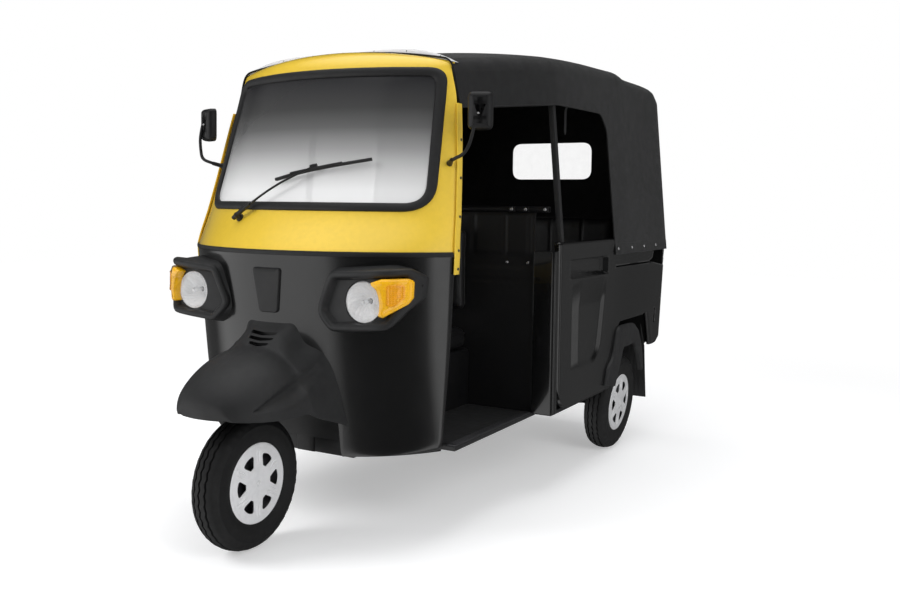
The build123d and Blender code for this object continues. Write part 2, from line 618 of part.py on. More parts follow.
# ---- cab -------------------------------------------------------------------------------
DASH = (930, 1030)
with BuildPart() as dashboard:
    inner = PANEL_WALL + 14
    with BuildSketch(Plane.XY.offset(DASH[0])):
        with BuildLine():
            ThreePointArc((-400, at(face_station(COWL_LEVELS, 400, DASH[0]) + inner)),
                          (0, at(face_station(COWL_LEVELS, 0, DASH[0]) + PANEL_WALL + 2 * SEAT)),
                          (400, at(face_station(COWL_LEVELS, 400, DASH[0]) + inner)))
            Polyline((400, at(face_station(COWL_LEVELS, 400, DASH[0]) + inner)), (400, at(285)), (-400, at(285)),
                     (-400, at(face_station(COWL_LEVELS, 400, DASH[0]) + inner)))
        make_face()
    extrude(amount=DASH[1] - DASH[0])
    add(rod(on_axis(850), on_axis(1200), STEM_RADIUS + 12), mode=Mode.SUBTRACT)
save(dashboard, "dashboard")

SEAT_STATIONS = (700, 1085)
with BuildPart() as driver_seat_base:
    add(block((-300, 300), (SEAT_STATIONS[0] + 30, PILLAR[0] + 10), (FLOOR_TOP + SEAT, 600)))
save(driver_seat_base, "driver_seat_base")

with BuildPart() as driver_cushion:
    add(block((-320, 320), SEAT_STATIONS, (600 + SEAT, 700)))
    fillet(driver_cushion.edges(), radius=18)
save(driver_cushion, "driver_cushion")

PARTITION = (PILLAR[0] + 15, PILLAR[0] + 15 + PLATE)
PARTITION_TOP = 1195
with BuildPart() as driver_backrest:
    add(block((-300, 300), (PARTITION[0] - 70, PARTITION[0] - SEAT), (760, 1130)))
    fillet(driver_backrest.edges(), radius=18)
save(driver_backrest, "driver_backrest")

with BuildPart() as partition:
    add(block((-HALF_CAB + SEAT, HALF_CAB - SEAT), PARTITION, (FLOOR_TOP + SEAT, PARTITION_TOP)))
    add(block((-HALF_CAB - 60, HALF_CAB + 60), (PILLAR[0] + 5, PILLAR[0] + 40), (PARTITION_TOP, PARTITION_TOP + 25)))
save(partition, "partition")

PILLAR_TOP = 1035
BOW_BEHIND = 60              # the first bow stands this far behind the pillars
with BuildPart() as b_pillars:
    for side in SIDES.values():
        add(block((side * HALF_CAB, side * HALF_BODY), PILLAR, (FLOOR_TOP + SEAT, PILLAR_TOP)))
    add(block((-HALF_BODY, -HALF_BODY + 45), (PILLAR[1], PILLAR[1] + BOW_BEHIND + 35), (PILLAR_TOP - 40, PILLAR_TOP)))
save(b_pillars, "b_pillars")

# Side view of the wheel arch.
ARCH = ((WHEELBASE - 290, 300), (WHEELBASE - 205, 600), (WHEELBASE - 160, 640), (WHEELBASE + 150, 640),
        (WHEELBASE + 200, 600), (WHEELBASE + 255, 300))
SIDE_PANEL = (PILLAR[1] + SEAT, QUARTER - SEAT)
with BuildPart() as side_panel_left:
    add(block((HALF_BODY - 30, HALF_BODY), SIDE_PANEL, (PANEL_BOTTOM, PANEL_TOP)))
    add(side_view(ARCH, HALF_BODY - 40, HALF_BODY + 10), mode=Mode.SUBTRACT)
save(side_panel_left, "side_panel_left")

# ---- rear body -------------------------------------------------------------------------
TAIL_LINE = ((TAIL - 15, QUARTER_TOP), (TAIL - 61, 710), (TAIL - 78, 547))
with BuildPart() as quarter_shape:
    add(side_view(((QUARTER, QUARTER_TOP), (QUARTER, QUARTER_BOTTOM), (WHEELBASE + 200, QUARTER_BOTTOM),
                   (WHEELBASE + 330, 500), (TAIL - 175, 490), (TAIL - 90, 530)) + TAIL_LINE[::-1],
                  QUARTER_IN, HALF_BODY))
    add(side_view(ARCH, QUARTER_IN - 5, HALF_BODY + 5), mode=Mode.SUBTRACT)
for name, side in SIDES.items():
    with BuildPart() as rear_quarter:
        if side > 0:
            add(quarter_shape.part)
        else:
            add(mirror(quarter_shape.part, about=Plane.YZ, mode=Mode.PRIVATE))
    save(rear_quarter, f"rear_quarter_{name}")

FLARE = 22                   # how far the arch flares stand out
FLARE_FOOT = PANEL_BOTTOM + 10
FLARE_LIP = 545              # height of the flare's lower edge over the tyre
# Side view of a flare: it laps over the body around the arch and comes down to the tyre's top.
FLARE_LINE = ((WHEELBASE - 370, FLARE_FOOT), (WHEELBASE - 302, 625), (WHEELBASE - 269, 656),
              (WHEELBASE + 101, 656), (WHEELBASE + 151, 625), (WHEELBASE + 176, FLARE_LIP - 5),
              (WHEELBASE + 96, FLARE_LIP - 5), (WHEELBASE + 80, FLARE_LIP), (WHEELBASE - 196, FLARE_LIP),
              (WHEELBASE - 228, FLARE_LIP - 25), (WHEELBASE - 274, FLARE_FOOT))
with BuildPart() as arch_flares:
    for side in SIDES.values():
        add(side_view(FLARE_LINE, side * (HALF_BODY + SEAT), side * (HALF_BODY + FLARE)))
save(arch_flares, "arch_flares")

FLAP_TOP = (WHEELBASE + 262, 640)
FLAP_BOTTOM = (WHEELBASE + 325, 232)
with BuildPart() as mud_flaps:
    for side in SIDES.values():
        add(side_view((FLAP_TOP, (FLAP_TOP[0] + 6, FLAP_TOP[1]), (FLAP_BOTTOM[0] + 6, FLAP_BOTTOM[1]), FLAP_BOTTOM),
                      side * 545, side * (QUARTER_IN - SEAT)))
save(mud_flaps, "mud_flaps")


def tail_strip(depth, wall, x_from, x_to):
    """Slice of the tail's sloping face, starting `depth` inside it."""
    outer = [(station - depth, z) for station, z in TAIL_LINE]
    inner = [(station - depth - wall, z) for station, z in TAIL_LINE]
    return side_view(outer + inner[::-1], x_from, x_to)


FLAP_HALF = 300
FLAP_Z = (570, 900)
PIN_RADIUS = 4
KNUCKLE = 7                  # outer radius of the hinge knuckles
HINGE_X = (190, 206, 226, 242)  # ear, knuckle and ear of each hinge
HINGE_Z = FLAP_Z[1] + GAP
HINGE = TAIL - 15 - 46 * (QUARTER_TOP - HINGE_Z) / (QUARTER_TOP - 710) + KNUCKLE + 2
with BuildPart() as tail_panel:
    add(tail_strip(0, SIDE_WALL, -QUARTER_IN + SEAT, QUARTER_IN - SEAT))
    add(block((-FLAP_HALF - GAP, FLAP_HALF + GAP), (TAIL - 200, TAIL + 50), (FLAP_Z[0] - GAP, FLAP_Z[1] + GAP)),
        mode=Mode.SUBTRACT)
    for side in SIDES.values():
        for ear in (HINGE_X[:2], HINGE_X[2:]):
            add(rod((side * ear[0], HINGE, HINGE_Z), (side * ear[1], HINGE, HINGE_Z), KNUCKLE))
            add(block((side * ear[0], side * ear[1]), (HINGE - 15, HINGE), (HINGE_Z + 1, HINGE_Z + KNUCKLE - 1)))
        add(rod((side * HINGE_X[0], HINGE, HINGE_Z), (side * HINGE_X[3], HINGE, HINGE_Z), PIN_RADIUS))
save(tail_panel, "tail_panel")

with BuildPart() as engine_flap:
    add(tail_strip(0, SIDE_WALL, -FLAP_HALF, FLAP_HALF))
    add(block((-FLAP_HALF, FLAP_HALF), (TAIL - 200, TAIL + 50), FLAP_Z), mode=Mode.INTERSECT)
    for side in SIDES.values():
        knuckle = (side * (HINGE_X[1] + SEAT), side * (HINGE_X[2] - SEAT))
        add(rod((knuckle[0], HINGE, HINGE_Z), (knuckle[1], HINGE, HINGE_Z), KNUCKLE))
        add(side_view(((HINGE - 16, FLAP_Z[1] - 22), (HINGE + 2, FLAP_Z[1] - 22), (HINGE + KNUCKLE, HINGE_Z),
                       (HINGE - KNUCKLE, HINGE_Z), (HINGE - 16, FLAP_Z[1] - 2)), *knuckle))
        add(rod((side * HINGE_X[0], HINGE, HINGE_Z), (side * HINGE_X[3], HINGE, HINGE_Z), PIN_RADIUS + FIT),
            mode=Mode.SUBTRACT)
save(engine_flap, "engine_flap")

with BuildPart() as tail_lamps:
    for side in SIDES.values():
        add(tail_strip(-12, 12 - SEAT, side * 560, side * 650))
    add(block((-700, 700), (TAIL - 200, TAIL + 50), (780, 930)), mode=Mode.INTERSECT)
save(tail_lamps, "tail_lamps")

CUSHION_TOP = 790
with BuildPart() as passenger_cushion:
    add(block((-560, 560), (RISER + 15, WHEELBASE + 175), (DECK_TOP + SEAT, CUSHION_TOP)))
    fillet(passenger_cushion.edges(), radius=22)
save(passenger_cushion, "passenger_cushion")

with BuildPart() as passenger_backrest:
    add(block((-560, 560), (WHEELBASE + 180, WHEELBASE + 265), (DECK_TOP + SEAT, 1180)))
    fillet(passenger_backrest.edges(), radius=22)
save(passenger_backrest, "passenger_backrest")

# ---- canopy ----------------------------------------------------------------------------
# columns: station, half width at the hem, shoulder x, shoulder z, crown edge x, crown edge z, crown height
CANOPY = (
    (ROOF_EDGE, HALF_BODY - 32, ROOF_CORNER[0] + 14, 1722, 470, 1778, ROOF_CROWN + 8),
    (PILLAR[1] + BOW_BEHIND, HALF_BODY + 6, HALF_BODY - 66, 1790, HALF_BODY - 140, 1856, 1900),
    (WHEELBASE - 4, HALF_BODY + 6, HALF_BODY - 74, 1840, HALF_BODY - 145, 1902, 1948),
    (WHEELBASE + 140, HALF_BODY + 6, HALF_BODY - 74, 1828, HALF_BODY - 145, 1888, 1934),
    (TAIL - 85, HALF_BODY + 6, HALF_BODY - 70, 1820, HALF_BODY - 135, 1880, 1926),
    (TAIL - 25, HALF_BODY + 6, HALF_BODY - 66, 1790, HALF_BODY - 130, 1846, 1890),
    (TAIL, HALF_BODY + 6, HALF_BODY - 70, 1740, HALF_BODY - 125, 1782, 1810),
)


def canopy_section(row, inset):
    """Closed cross-section of the canopy, drawn in by `inset`."""
    station, hem_x, shoulder_x, shoulder_z, edge_x, edge_z, crown = row
    hem = (hem_x - inset, HEM)
    shoulder = (shoulder_x - inset, shoulder_z)
    edge = (edge_x, edge_z - inset)
    middle = ((shoulder[0] + edge[0]) / 2 + 0.2 * (shoulder[0] - edge[0]),
              (shoulder[1] + edge[1]) / 2 + 0.2 * (edge[1] - shoulder[1]))
    with BuildSketch(Plane.XZ.offset(-at(station))) as section_plane:
        with BuildLine():
            Line((-hem[0], hem[1]), hem)
            Line(hem, shoulder)
            ThreePointArc(shoulder, middle, edge)
            ThreePointArc(edge, (0, crown - inset), (-edge[0], edge[1]))
            ThreePointArc((-edge[0], edge[1]), (-middle[0], middle[1]), (-shoulder[0], shoulder[1]))
            Line((-shoulder[0], shoulder[1]), (-hem[0], hem[1]))
        make_face()
    return section_plane.sketch


def canopy_solid(inset, rows):
    with BuildPart() as hull:
        loft([canopy_section(row, inset) for row in rows], ruled=True)
    return hull.part


ENTRY = ((ROOF_EDGE - 50, HEM - 50), (ROOF_EDGE - 50, VALANCE - 20), (ROOF_EDGE, VALANCE - 20),
         (PILLAR[1] + 60, VALANCE + 50), (QUARTER - 90, VALANCE + 60), (QUARTER - 10, VALANCE - 10),
         (QUARTER + 1, PANEL_TOP + 40), (QUARTER + 1, HEM - 50))
WINDOW = (250, 1380, 1592)   # half width, sill and head of the rear window
with BuildSketch() as window_outline:
    with Locations((0, (WINDOW[1] + WINDOW[2]) / 2)):
        RectangleRounded(2 * WINDOW[0], WINDOW[2] - WINDOW[1], 45)
inner_rows = CANOPY[:-1] + ((TAIL - CANOPY_WALL,) + CANOPY[-1][1:],)
with BuildPart() as canopy:
    add(canopy_solid(0, CANOPY))
    add(canopy_solid(CANOPY_WALL, inner_rows), mode=Mode.SUBTRACT)
    add(block((-580, 580), (ROOF_EDGE - 50, TAIL - CANOPY_WALL), (HEM - 50, HEM + 50)), mode=Mode.SUBTRACT)
    add(side_view(ENTRY, -HALF_BODY - 50, HALF_BODY + 50), mode=Mode.SUBTRACT)
    add(front_view(window_outline.sketch, TAIL - 60, TAIL + 20), mode=Mode.SUBTRACT)
save(canopy, "canopy")

with BuildPart() as rear_window:
    with BuildSketch(Plane.XZ.offset(-at(TAIL - 3))):
        with Locations((0, (WINDOW[1] + WINDOW[2]) / 2)):
            RectangleRounded(2 * (WINDOW[0] - SEAT), WINDOW[2] - WINDOW[1] - 2 * SEAT, 45 - SEAT)
    extrude(amount=1, both=True)
save(rear_window, "rear_window")

BOW = 25                     # square tube of the bows
BOW_GAP = 7
# columns: canopy row, top of what the left foot stands on, the same on the right
BOWS = (
    (CANOPY[1], PANEL_TOP, PILLAR_TOP),
    (CANOPY[2], QUARTER_TOP, QUARTER_TOP),
    (CANOPY[4], QUARTER_TOP, QUARTER_TOP),
)
with BuildPart() as canopy_bows:
    for row, foot_left, foot_right in BOWS:
        with BuildSketch(Plane.XZ.offset(-at(row[0]))) as band:
            add(canopy_section(row, CANOPY_WALL + BOW_GAP))
            add(canopy_section(row, CANOPY_WALL + BOW_GAP + BOW), mode=Mode.SUBTRACT)
        with BuildPart(mode=Mode.PRIVATE) as hoop:
            extrude(band.sketch, amount=BOW)
            add(block((0, HALF_BODY + 50), (0, TAIL), (0, foot_left + SEAT)), mode=Mode.SUBTRACT)
            add(block((-HALF_BODY - 50, 0), (0, TAIL), (0, foot_right + SEAT)), mode=Mode.SUBTRACT)
        add(hoop.part)
save(canopy_bows, "canopy_bows")
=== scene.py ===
"""Auto rickshaw: the visual model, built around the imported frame.

Lengths are metres, +Z is up, the front faces -Y and the vehicle's left side is +X.
A station is the distance behind the front axle; at(station) turns it into y.
"""

import json
import logging
import math
import random
from dataclasses import dataclass
from enum import Enum
from typing import Callable, Iterable, Sequence

import bpy
from mathutils import Matrix, Vector

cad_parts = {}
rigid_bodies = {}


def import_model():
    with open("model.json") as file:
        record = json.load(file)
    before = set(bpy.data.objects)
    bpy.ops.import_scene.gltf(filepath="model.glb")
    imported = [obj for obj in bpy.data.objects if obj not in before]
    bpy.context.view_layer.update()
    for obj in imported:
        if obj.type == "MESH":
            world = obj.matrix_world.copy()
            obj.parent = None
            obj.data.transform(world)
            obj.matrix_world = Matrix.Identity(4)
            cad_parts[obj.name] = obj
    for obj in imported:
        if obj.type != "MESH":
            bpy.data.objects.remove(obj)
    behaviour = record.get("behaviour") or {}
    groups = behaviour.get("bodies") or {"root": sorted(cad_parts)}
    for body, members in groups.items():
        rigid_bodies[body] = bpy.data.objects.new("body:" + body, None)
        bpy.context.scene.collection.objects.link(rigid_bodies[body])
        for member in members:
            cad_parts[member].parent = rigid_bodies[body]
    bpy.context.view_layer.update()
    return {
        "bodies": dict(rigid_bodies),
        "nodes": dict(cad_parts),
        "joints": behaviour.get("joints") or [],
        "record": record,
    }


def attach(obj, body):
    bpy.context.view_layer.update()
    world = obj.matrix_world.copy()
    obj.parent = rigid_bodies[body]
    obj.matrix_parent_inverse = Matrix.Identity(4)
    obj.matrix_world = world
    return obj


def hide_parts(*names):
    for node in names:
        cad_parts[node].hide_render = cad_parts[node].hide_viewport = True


LOG = logging.getLogger("rickshaw")

Piece = bpy.types.Object
Flat = tuple[float, float]
Solid = tuple[float, float, float]

FRONT_AXLE_Y = -1.22
WHEELBASE = 2.064
TAIL = 2.705                     # station of the canopy's back
FLOOR_TOP = 0.35
COWL_TOP = 1.048
BELT_TOP = 1.198
GLASS_TOP = 1.728
HALF_CAB = 0.6
HALF_BODY = 0.7
PANEL_TOP = 1.071
QUARTER = 1.832                  # station where the rear quarters begin
HEM = 1.0
TYRE_RADIUS = 0.24
TURNED_CREASE = 40               # degrees; edges of a turned piece that are sharper stay crisp
NOISE_MIDDLE = (0.3, 0.7)        # range that holds most of a noise's values


def at(station: float) -> float:
    """Turns a station, behind the front axle, into y."""
    return station + FRONT_AXLE_Y


def stationed(points: Sequence[Vector]) -> list[Solid]:
    """Turns the y of each point back into a station."""
    return [(p.x, p.y - FRONT_AXLE_Y, p.z) for p in points]


def clamp(value: float) -> float:
    """Holds a value between 0 and 1."""
    return min(1.0, max(0.0, value))


# ---- finishes --------------------------------------------------------------------------
class Pattern(Enum):
    """Kinds of surface detail that a finish can have."""

    PAINT = "paint"
    MOULDED = "moulded"
    RUBBER = "rubber"
    CANVAS = "canvas"
    VINYL = "vinyl"
    CAST = "cast"
    BRUSHED = "brushed"
    RIBBED = "ribbed"
    SCREEN = "screen"
    CLEAR = "clear"


@dataclass(frozen=True)
class Finish:
    """One finish, with the size and depth of its surface detail.

    Attributes:
        slot: material slot of the record; not used.
        colour: linear base colour.
        pattern: kind of surface detail.
        rough: roughness of the surface.
        metal: 1 for bare metal.
        coat: weight of the clear coat.
        grain: size of the detail in metres.
        relief: height of the detail in metres.
        wander: how far the colour wanders, as a share.
        gloss: level of the plain mirror reflection, 0.5 for most surfaces.
    """

    slot: str
    colour: Solid
    pattern: Pattern
    rough: float = 0.5
    metal: float = 0.0
    coat: float = 0.0
    grain: float = 0.002
    relief: float = 0.0002
    wander: float = 0.12
    gloss: float = 0.5


class Coat(Enum):
    """The finishes of this vehicle."""

    YELLOW = Finish("yellow", (0.8, 0.545, 0.045), Pattern.PAINT, 0.32, coat=1.0, grain=0.004, wander=0.04)
    CHARCOAL = Finish("charcoal", (0.0038, 0.0039, 0.004), Pattern.PAINT, 0.24, coat=0.7, grain=0.004)
    MOULDED = Finish("charcoal_plastic", (0.018, 0.0182, 0.0188), Pattern.MOULDED, 0.52, grain=0.0016)
    FRAME = Finish("frame", (0.006, 0.006, 0.0065), Pattern.PAINT, 0.42, grain=0.003)
    BLACK = Finish("dark_plastic", (0.009, 0.009, 0.0095), Pattern.MOULDED, 0.42, grain=0.0014)
    # Near-black and glossless: painted shade, for sheets that stand in for the dark inside hollows and rear
    # arches.
    PAINTED_SHADE = Finish("dark_plastic", (0.0015, 0.0015, 0.0015), Pattern.MOULDED, 0.95, gloss=0.05)
    RUBBER = Finish("rubber", (0.014, 0.014, 0.0145), Pattern.RUBBER, 0.55, grain=0.003)
    TYRE = Finish("tyre", (0.0085, 0.0085, 0.0088), Pattern.RUBBER, 0.62, grain=0.004, relief=0.0004)
    CANVAS = Finish("canvas", (0.0075, 0.0075, 0.0079), Pattern.CANVAS, 0.68, gloss=0.3, grain=0.0024,
                    relief=0.0005)
    VINYL = Finish("vinyl", (0.008, 0.008, 0.0085), Pattern.VINYL, 0.4, grain=0.0022, relief=0.0004)
    SILVER = Finish("silver", (0.8, 0.8, 0.81), Pattern.PAINT, 0.3, metal=0.1, coat=0.6, wander=0.05)
    # Headlamp bowls: near-white paint that is painted reflection, standing in for what a mirror bowl
    # reflects.
    PAINTED_REFLECTION = Finish("silver", (0.97, 0.97, 0.98), Pattern.PAINT, 0.2, metal=0.15, coat=0.6, wander=0.02)
    TRIM = Finish("silver", (0.66, 0.66, 0.67), Pattern.PAINT, 0.35, coat=0.5, wander=0.03)
    BRIGHT = Finish("silver", (0.8, 0.8, 0.81), Pattern.BRUSHED, 0.28, metal=1.0, wander=0.08)
    CHROME = Finish("silver", (0.9, 0.9, 0.91), Pattern.BRUSHED, 0.08, metal=1.0, relief=0.00002, wander=0.03)
    STEEL = Finish("steel", (0.1, 0.1, 0.105), Pattern.BRUSHED, 0.42, metal=0.8)
    IRON = Finish("iron", (0.2, 0.2, 0.205), Pattern.CAST, 0.55, metal=0.6, grain=0.005, relief=0.0008)
    AMBER = Finish("amber", (0.95, 0.47, 0.006), Pattern.RIBBED, 0.16, coat=1.0, grain=0.011, relief=0.0007)
    HONEY = Finish("amber", (0.88, 0.36, 0.004), Pattern.RIBBED, 0.22, coat=1.0, grain=0.008, relief=0.001)
    RED = Finish("tail_red", (0.55, 0.012, 0.012), Pattern.RIBBED, 0.14, coat=1.0, grain=0.012, relief=0.0016)
    PLATE = Finish("silver", (0.78, 0.6, 0.1), Pattern.PAINT, 0.45, wander=0.05)
    # Windshield glass; its colour and cover come from a height ramp that paints reflection, near-white, low
    # on the glass.
    SCREEN = Finish("glass", (0.5, 0.5, 0.5), Pattern.SCREEN, 0.04)
    LENS = Finish("lamp", (0.95, 0.96, 0.97), Pattern.CLEAR, 0.02, wander=0.16)
    SHEETING = Finish("glass", (0.93, 0.95, 0.95), Pattern.CLEAR, 0.1, grain=0.05, relief=0.002, wander=0.05)


# Bump of each pattern: whether cells lie under its noise, then the noise's size in grains, its detail, its
# stretch and the strength of the bump.
RELIEFS = {
    Pattern.PAINT: (False, 1, 2.0, (1, 1, 1), 0.12),
    Pattern.MOULDED: (True, 3, 3.0, (1, 1, 1), 0.7),
    Pattern.RUBBER: (False, 1, 5.0, (1, 1, 1), 0.6),
    Pattern.VINYL: (True, 6, 4.0, (1, 1, 1), 0.8),
    Pattern.CAST: (False, 1, 8.0, (1, 1, 1), 0.9),
    Pattern.BRUSHED: (False, 1, 2.0, (1, 14, 1), 0.3),
}


class Wiring:
    """Adds nodes to a tree, sets them and links them."""

    def __init__(self, tree: bpy.types.NodeTree) -> None:
        """Takes the tree that it works in."""
        self.tree = tree

    @staticmethod
    def set(node: bpy.types.Node, values: dict[str, object]) -> None:
        """Sets a node's input sockets by name."""
        for socket, value in values.items():
            node.inputs[socket].default_value = value

    def node(self, kind: str, values: dict[str, object] | None = None, **settings: object) -> bpy.types.Node:
        """Adds a node.

        Args:
            kind: Blender's name of the node, without its ShaderNode prefix.
            values: input sockets to set.
            settings: attributes to set.

        Returns:
            The new node.
        """
        made = self.tree.nodes.new("ShaderNode" + kind)
        for key, value in settings.items():
            setattr(made, key, value)
        self.set(made, values or {})
        return made

    def join(self, source: bpy.types.NodeSocket, target: bpy.types.NodeSocket) -> None:
        """Links two sockets."""
        self.tree.links.new(source, target)

    def sum(self, first: bpy.types.NodeSocket, second: bpy.types.NodeSocket, operation: str = "ADD",
            ) -> bpy.types.NodeSocket:
        """Combines two values with a math node."""
        made = self.node("Math", operation=operation)
        self.join(first, made.inputs[0])
        self.join(second, made.inputs[1])
        return made.outputs["Value"]

    def node_range(self, source: bpy.types.NodeSocket, start: float, stop: float, low: float = 0.0,
                   high: float = 1.0, **settings: object) -> bpy.types.NodeSocket:
        """Maps a value from start..stop to low..high, held at both ends."""
        made = self.node("MapRange", {"From Min": start, "From Max": stop, "To Min": low, "To Max": high},
                         **settings)
        self.join(source, made.inputs["Value"])
        return made.outputs["Result"]

    def mix(self, share: bpy.types.NodeSocket | float, colours: Sequence[object], blend: str = "MIX",
            ) -> bpy.types.NodeSocket:
        """Mixes two colours, each a socket or a value, by a share."""
        made = self.node("Mix", data_type="RGBA", blend_type=blend)
        for source, target in zip((share, *colours), (0, 6, 7)):
            if isinstance(source, bpy.types.NodeSocket):
                self.join(source, made.inputs[target])
            else:
                made.inputs[target].default_value = source
        return made.outputs[2]

    def grey(self, source: bpy.types.NodeSocket, rows: Sequence[Flat]) -> bpy.types.NodeSocket:
        """Turns a value from 0 to 1 into grey, by rows of (value, shade)."""
        ramp = self.node("ValToRGB")
        self.join(source, ramp.inputs["Fac"])
        stops = ramp.color_ramp.elements
        for i, (position, shade) in enumerate(rows):
            stop = stops[0] if i == 0 else stops.new(position) if i < len(rows) - 1 else stops[-1]
            stop.position, stop.color = position, (shade, shade, shade, 1)
        return ramp.outputs["Color"]

    def blend(self, share: bpy.types.NodeSocket, *shaders: bpy.types.NodeSocket) -> bpy.types.NodeSocket:
        """Mixes two shaders by a share."""
        made = self.node("MixShader")
        for source, target in zip((share, *shaders), made.inputs):
            self.join(source, target)
        return made.outputs[0]

    def seen(self, path: bpy.types.Node) -> bpy.types.NodeSocket:
        """1 for rays that the camera sees, straight or through glass, and 0 for others."""
        made = self.node("Math", operation="ADD", use_clamp=True)
        for i, kind in enumerate(("Camera", "Transmission")):
            self.join(path.outputs[f"Is {kind} Ray"], made.inputs[i])
        return made.outputs[0]


class Weaver(Wiring):
    """Builds one finish's node tree."""

    def __init__(self, name: str, finish: Finish) -> None:
        """Starts the material with its shader set from the finish.

        Args:
            name: name of the material.
            finish: the finish to build.
        """
        self.finish = finish
        self.material = bpy.data.materials.new(name)
        self.material.use_nodes = True
        super().__init__(self.material.node_tree)
        self.shader = self.tree.nodes["Principled BSDF"]
        self.place = self.tree.nodes.new("ShaderNodeTexCoord").outputs["Object"]
        self.set(self.shader, {
            "Base Color": (*finish.colour, 1.0), "Roughness": finish.rough, "Metallic": finish.metal,
            "Coat Weight": finish.coat, "Coat Roughness": 0.06, "Specular IOR Level": finish.gloss,
        })

    def noise(self, size: float, detail: float = 3.0, stretch: Solid = (1, 1, 1)) -> bpy.types.NodeSocket:
        """Noise with features of about `size` metres, drawn out along an axis by `stretch`."""
        mapping = self.node("Mapping", {"Scale": stretch})
        self.join(self.place, mapping.inputs["Vector"])
        made = self.node("TexNoise", {"Scale": 1.0 / size, "Detail": detail, "Roughness": 0.55})
        self.join(mapping.outputs["Vector"], made.inputs["Vector"])
        return made.outputs["Fac"]

    def cells(self, size: float) -> bpy.types.NodeSocket:
        """Rounded cells of about `size` metres, as moulded and leather grain have."""
        made = self.node("TexVoronoi", {"Scale": 1.0 / size}, feature="SMOOTH_F1")
        self.join(self.place, made.inputs["Vector"])
        return made.outputs["Distance"]

    def waves(self, size: float, axis: str, source: bpy.types.NodeSocket) -> bpy.types.NodeSocket:
        """Straight ribs, `size` metres apart, across one axis."""
        made = self.node("TexWave", {"Scale": 1.0 / (size * 3.18), "Distortion": 0.0, "Detail": 0.0},
                         wave_type="BANDS", bands_direction=axis, wave_profile="SIN")
        self.join(source, made.inputs["Vector"])
        return made.outputs["Fac"]

    def spread(self, source: bpy.types.NodeSocket, low: float, high: float) -> bpy.types.NodeSocket:
        """Maps the middle of a noise to a range of values."""
        return self.node_range(source, *NOISE_MIDDLE, low, high)

    def tint(self, share: bpy.types.NodeSocket, low: Solid, high: Solid) -> None:
        """Colours the shader between two colours by a value from 0 to 1."""
        self.join(self.mix(share, ((*low, 1.0), (*high, 1.0))), self.shader.inputs["Base Color"])

    def wander(self) -> None:
        """Lets colour and roughness wander over the surface, broadly and finely."""
        finish = self.finish
        low = tuple(c * (1 - finish.wander) for c in finish.colour)
        high = tuple(min(1.0, c * (1 + finish.wander) + 0.004 * finish.wander) for c in finish.colour)
        broad = self.sum(self.noise(0.35), self.noise(0.02, 6.0), "MULTIPLY")
        self.tint(self.node_range(broad, 0.12, 0.38), low, high)
        self.join(self.spread(self.noise(0.06, 5.0), finish.rough * 0.88, min(1.0, finish.rough * 1.12)),
                  self.shader.inputs["Roughness"])

    def bump(self, height: bpy.types.NodeSocket, strength: float = 0.6) -> None:
        """Drives the shader's normal from a height value, at the finish's relief."""
        made = self.node("Bump", {"Strength": strength, "Distance": self.finish.relief})
        self.join(height, made.inputs["Height"])
        self.join(made.outputs["Normal"], self.shader.inputs["Normal"])

    def detail(self) -> None:
        """Adds the surface detail that the finish's pattern asks for."""
        grain, pattern = self.finish.grain, self.finish.pattern
        if pattern is Pattern.CANVAS:
            self.weave()
        elif pattern is Pattern.RIBBED:
            across, up = self.waves(grain, "X", self.place), self.waves(grain * 0.8, "Z", self.place)
            self.bump(self.sum(across, up, "MULTIPLY"), 1.0)
        else:
            cellular, coarse, fineness, stretch, strength = RELIEFS[pattern]
            cells = [self.cells(grain)] if cellular else []
            noise = self.noise(grain * coarse, fineness, stretch)
            self.bump(self.sum(*cells, noise) if cells else noise, strength)

    def weave(self) -> None:
        """Threads in both directions of the cloth, from the piece's own UV map, over broad creases."""
        cloth = self.node("UVMap", uv_map="cloth").outputs["UV"]
        threads = self.sum(self.waves(self.finish.grain, "X", cloth),
                           self.waves(self.finish.grain, "Y", cloth), "ADD")
        creases = self.node("Math", {1: 2.5}, operation="MULTIPLY")
        self.join(self.noise(0.09, 2.0), creases.inputs[0])
        self.bump(self.sum(threads, creases.outputs["Value"]), 0.8)
        self.set(self.shader, {"Sheen Weight": 0.08, "Sheen Roughness": 0.5})

    def painted_reflection_veil(self) -> None:
        """Windshield: dark and nearly opaque at the top, paler and clearer lower down, where the pale colour
        is painted reflection.
        """
        split = self.node("SeparateXYZ")
        self.join(self.place, split.inputs["Vector"])
        height = self.node_range(split.outputs["Z"], BELT_TOP, GLASS_TOP - 0.03)
        # Painted reflection: the ramp's near-white, part-clear colour low on the glass stands in for the
        # bright surroundings it mirrors.
        ramp = self.node("ValToRGB")
        self.join(height, ramp.inputs["Fac"])
        stops = ramp.color_ramp.elements
        stops[0].position, stops[0].color = 0.0, (0.99, 0.99, 0.99, 0.68)
        stops[1].position, stops[1].color = 1.0, (0.024, 0.024, 0.026, 1)
        for position, shade, cover in ((0.15, 0.94, 0.68), (0.3, 0.66, 0.73), (0.45, 0.34, 0.8),
                                       (0.61, 0.125, 0.94), (0.76, 0.055, 0.975)):
            stop = stops.new(position)
            stop.color = (shade, shade, shade, cover)
        self.join(ramp.outputs["Color"], self.shader.inputs["Base Color"])
        self.join(ramp.outputs["Alpha"], self.shader.inputs["Alpha"])
        self.set(self.shader, {"Coat Weight": 0.6, "Coat Roughness": 0.02, "Specular IOR Level": 0.4})

    def clear(self) -> None:
        """Clear lens or sheeting, a little uneven."""
        finish = self.finish
        self.join(self.spread(self.noise(0.04), finish.wander * 0.8, finish.wander * 1.2),
                  self.shader.inputs["Alpha"])
        self.bump(self.noise(max(finish.grain, 0.01), 2.0), 0.3)
        self.set(self.shader, {"Coat Weight": 1.0, "Coat Roughness": 0.02, "Specular IOR Level": 1.0})

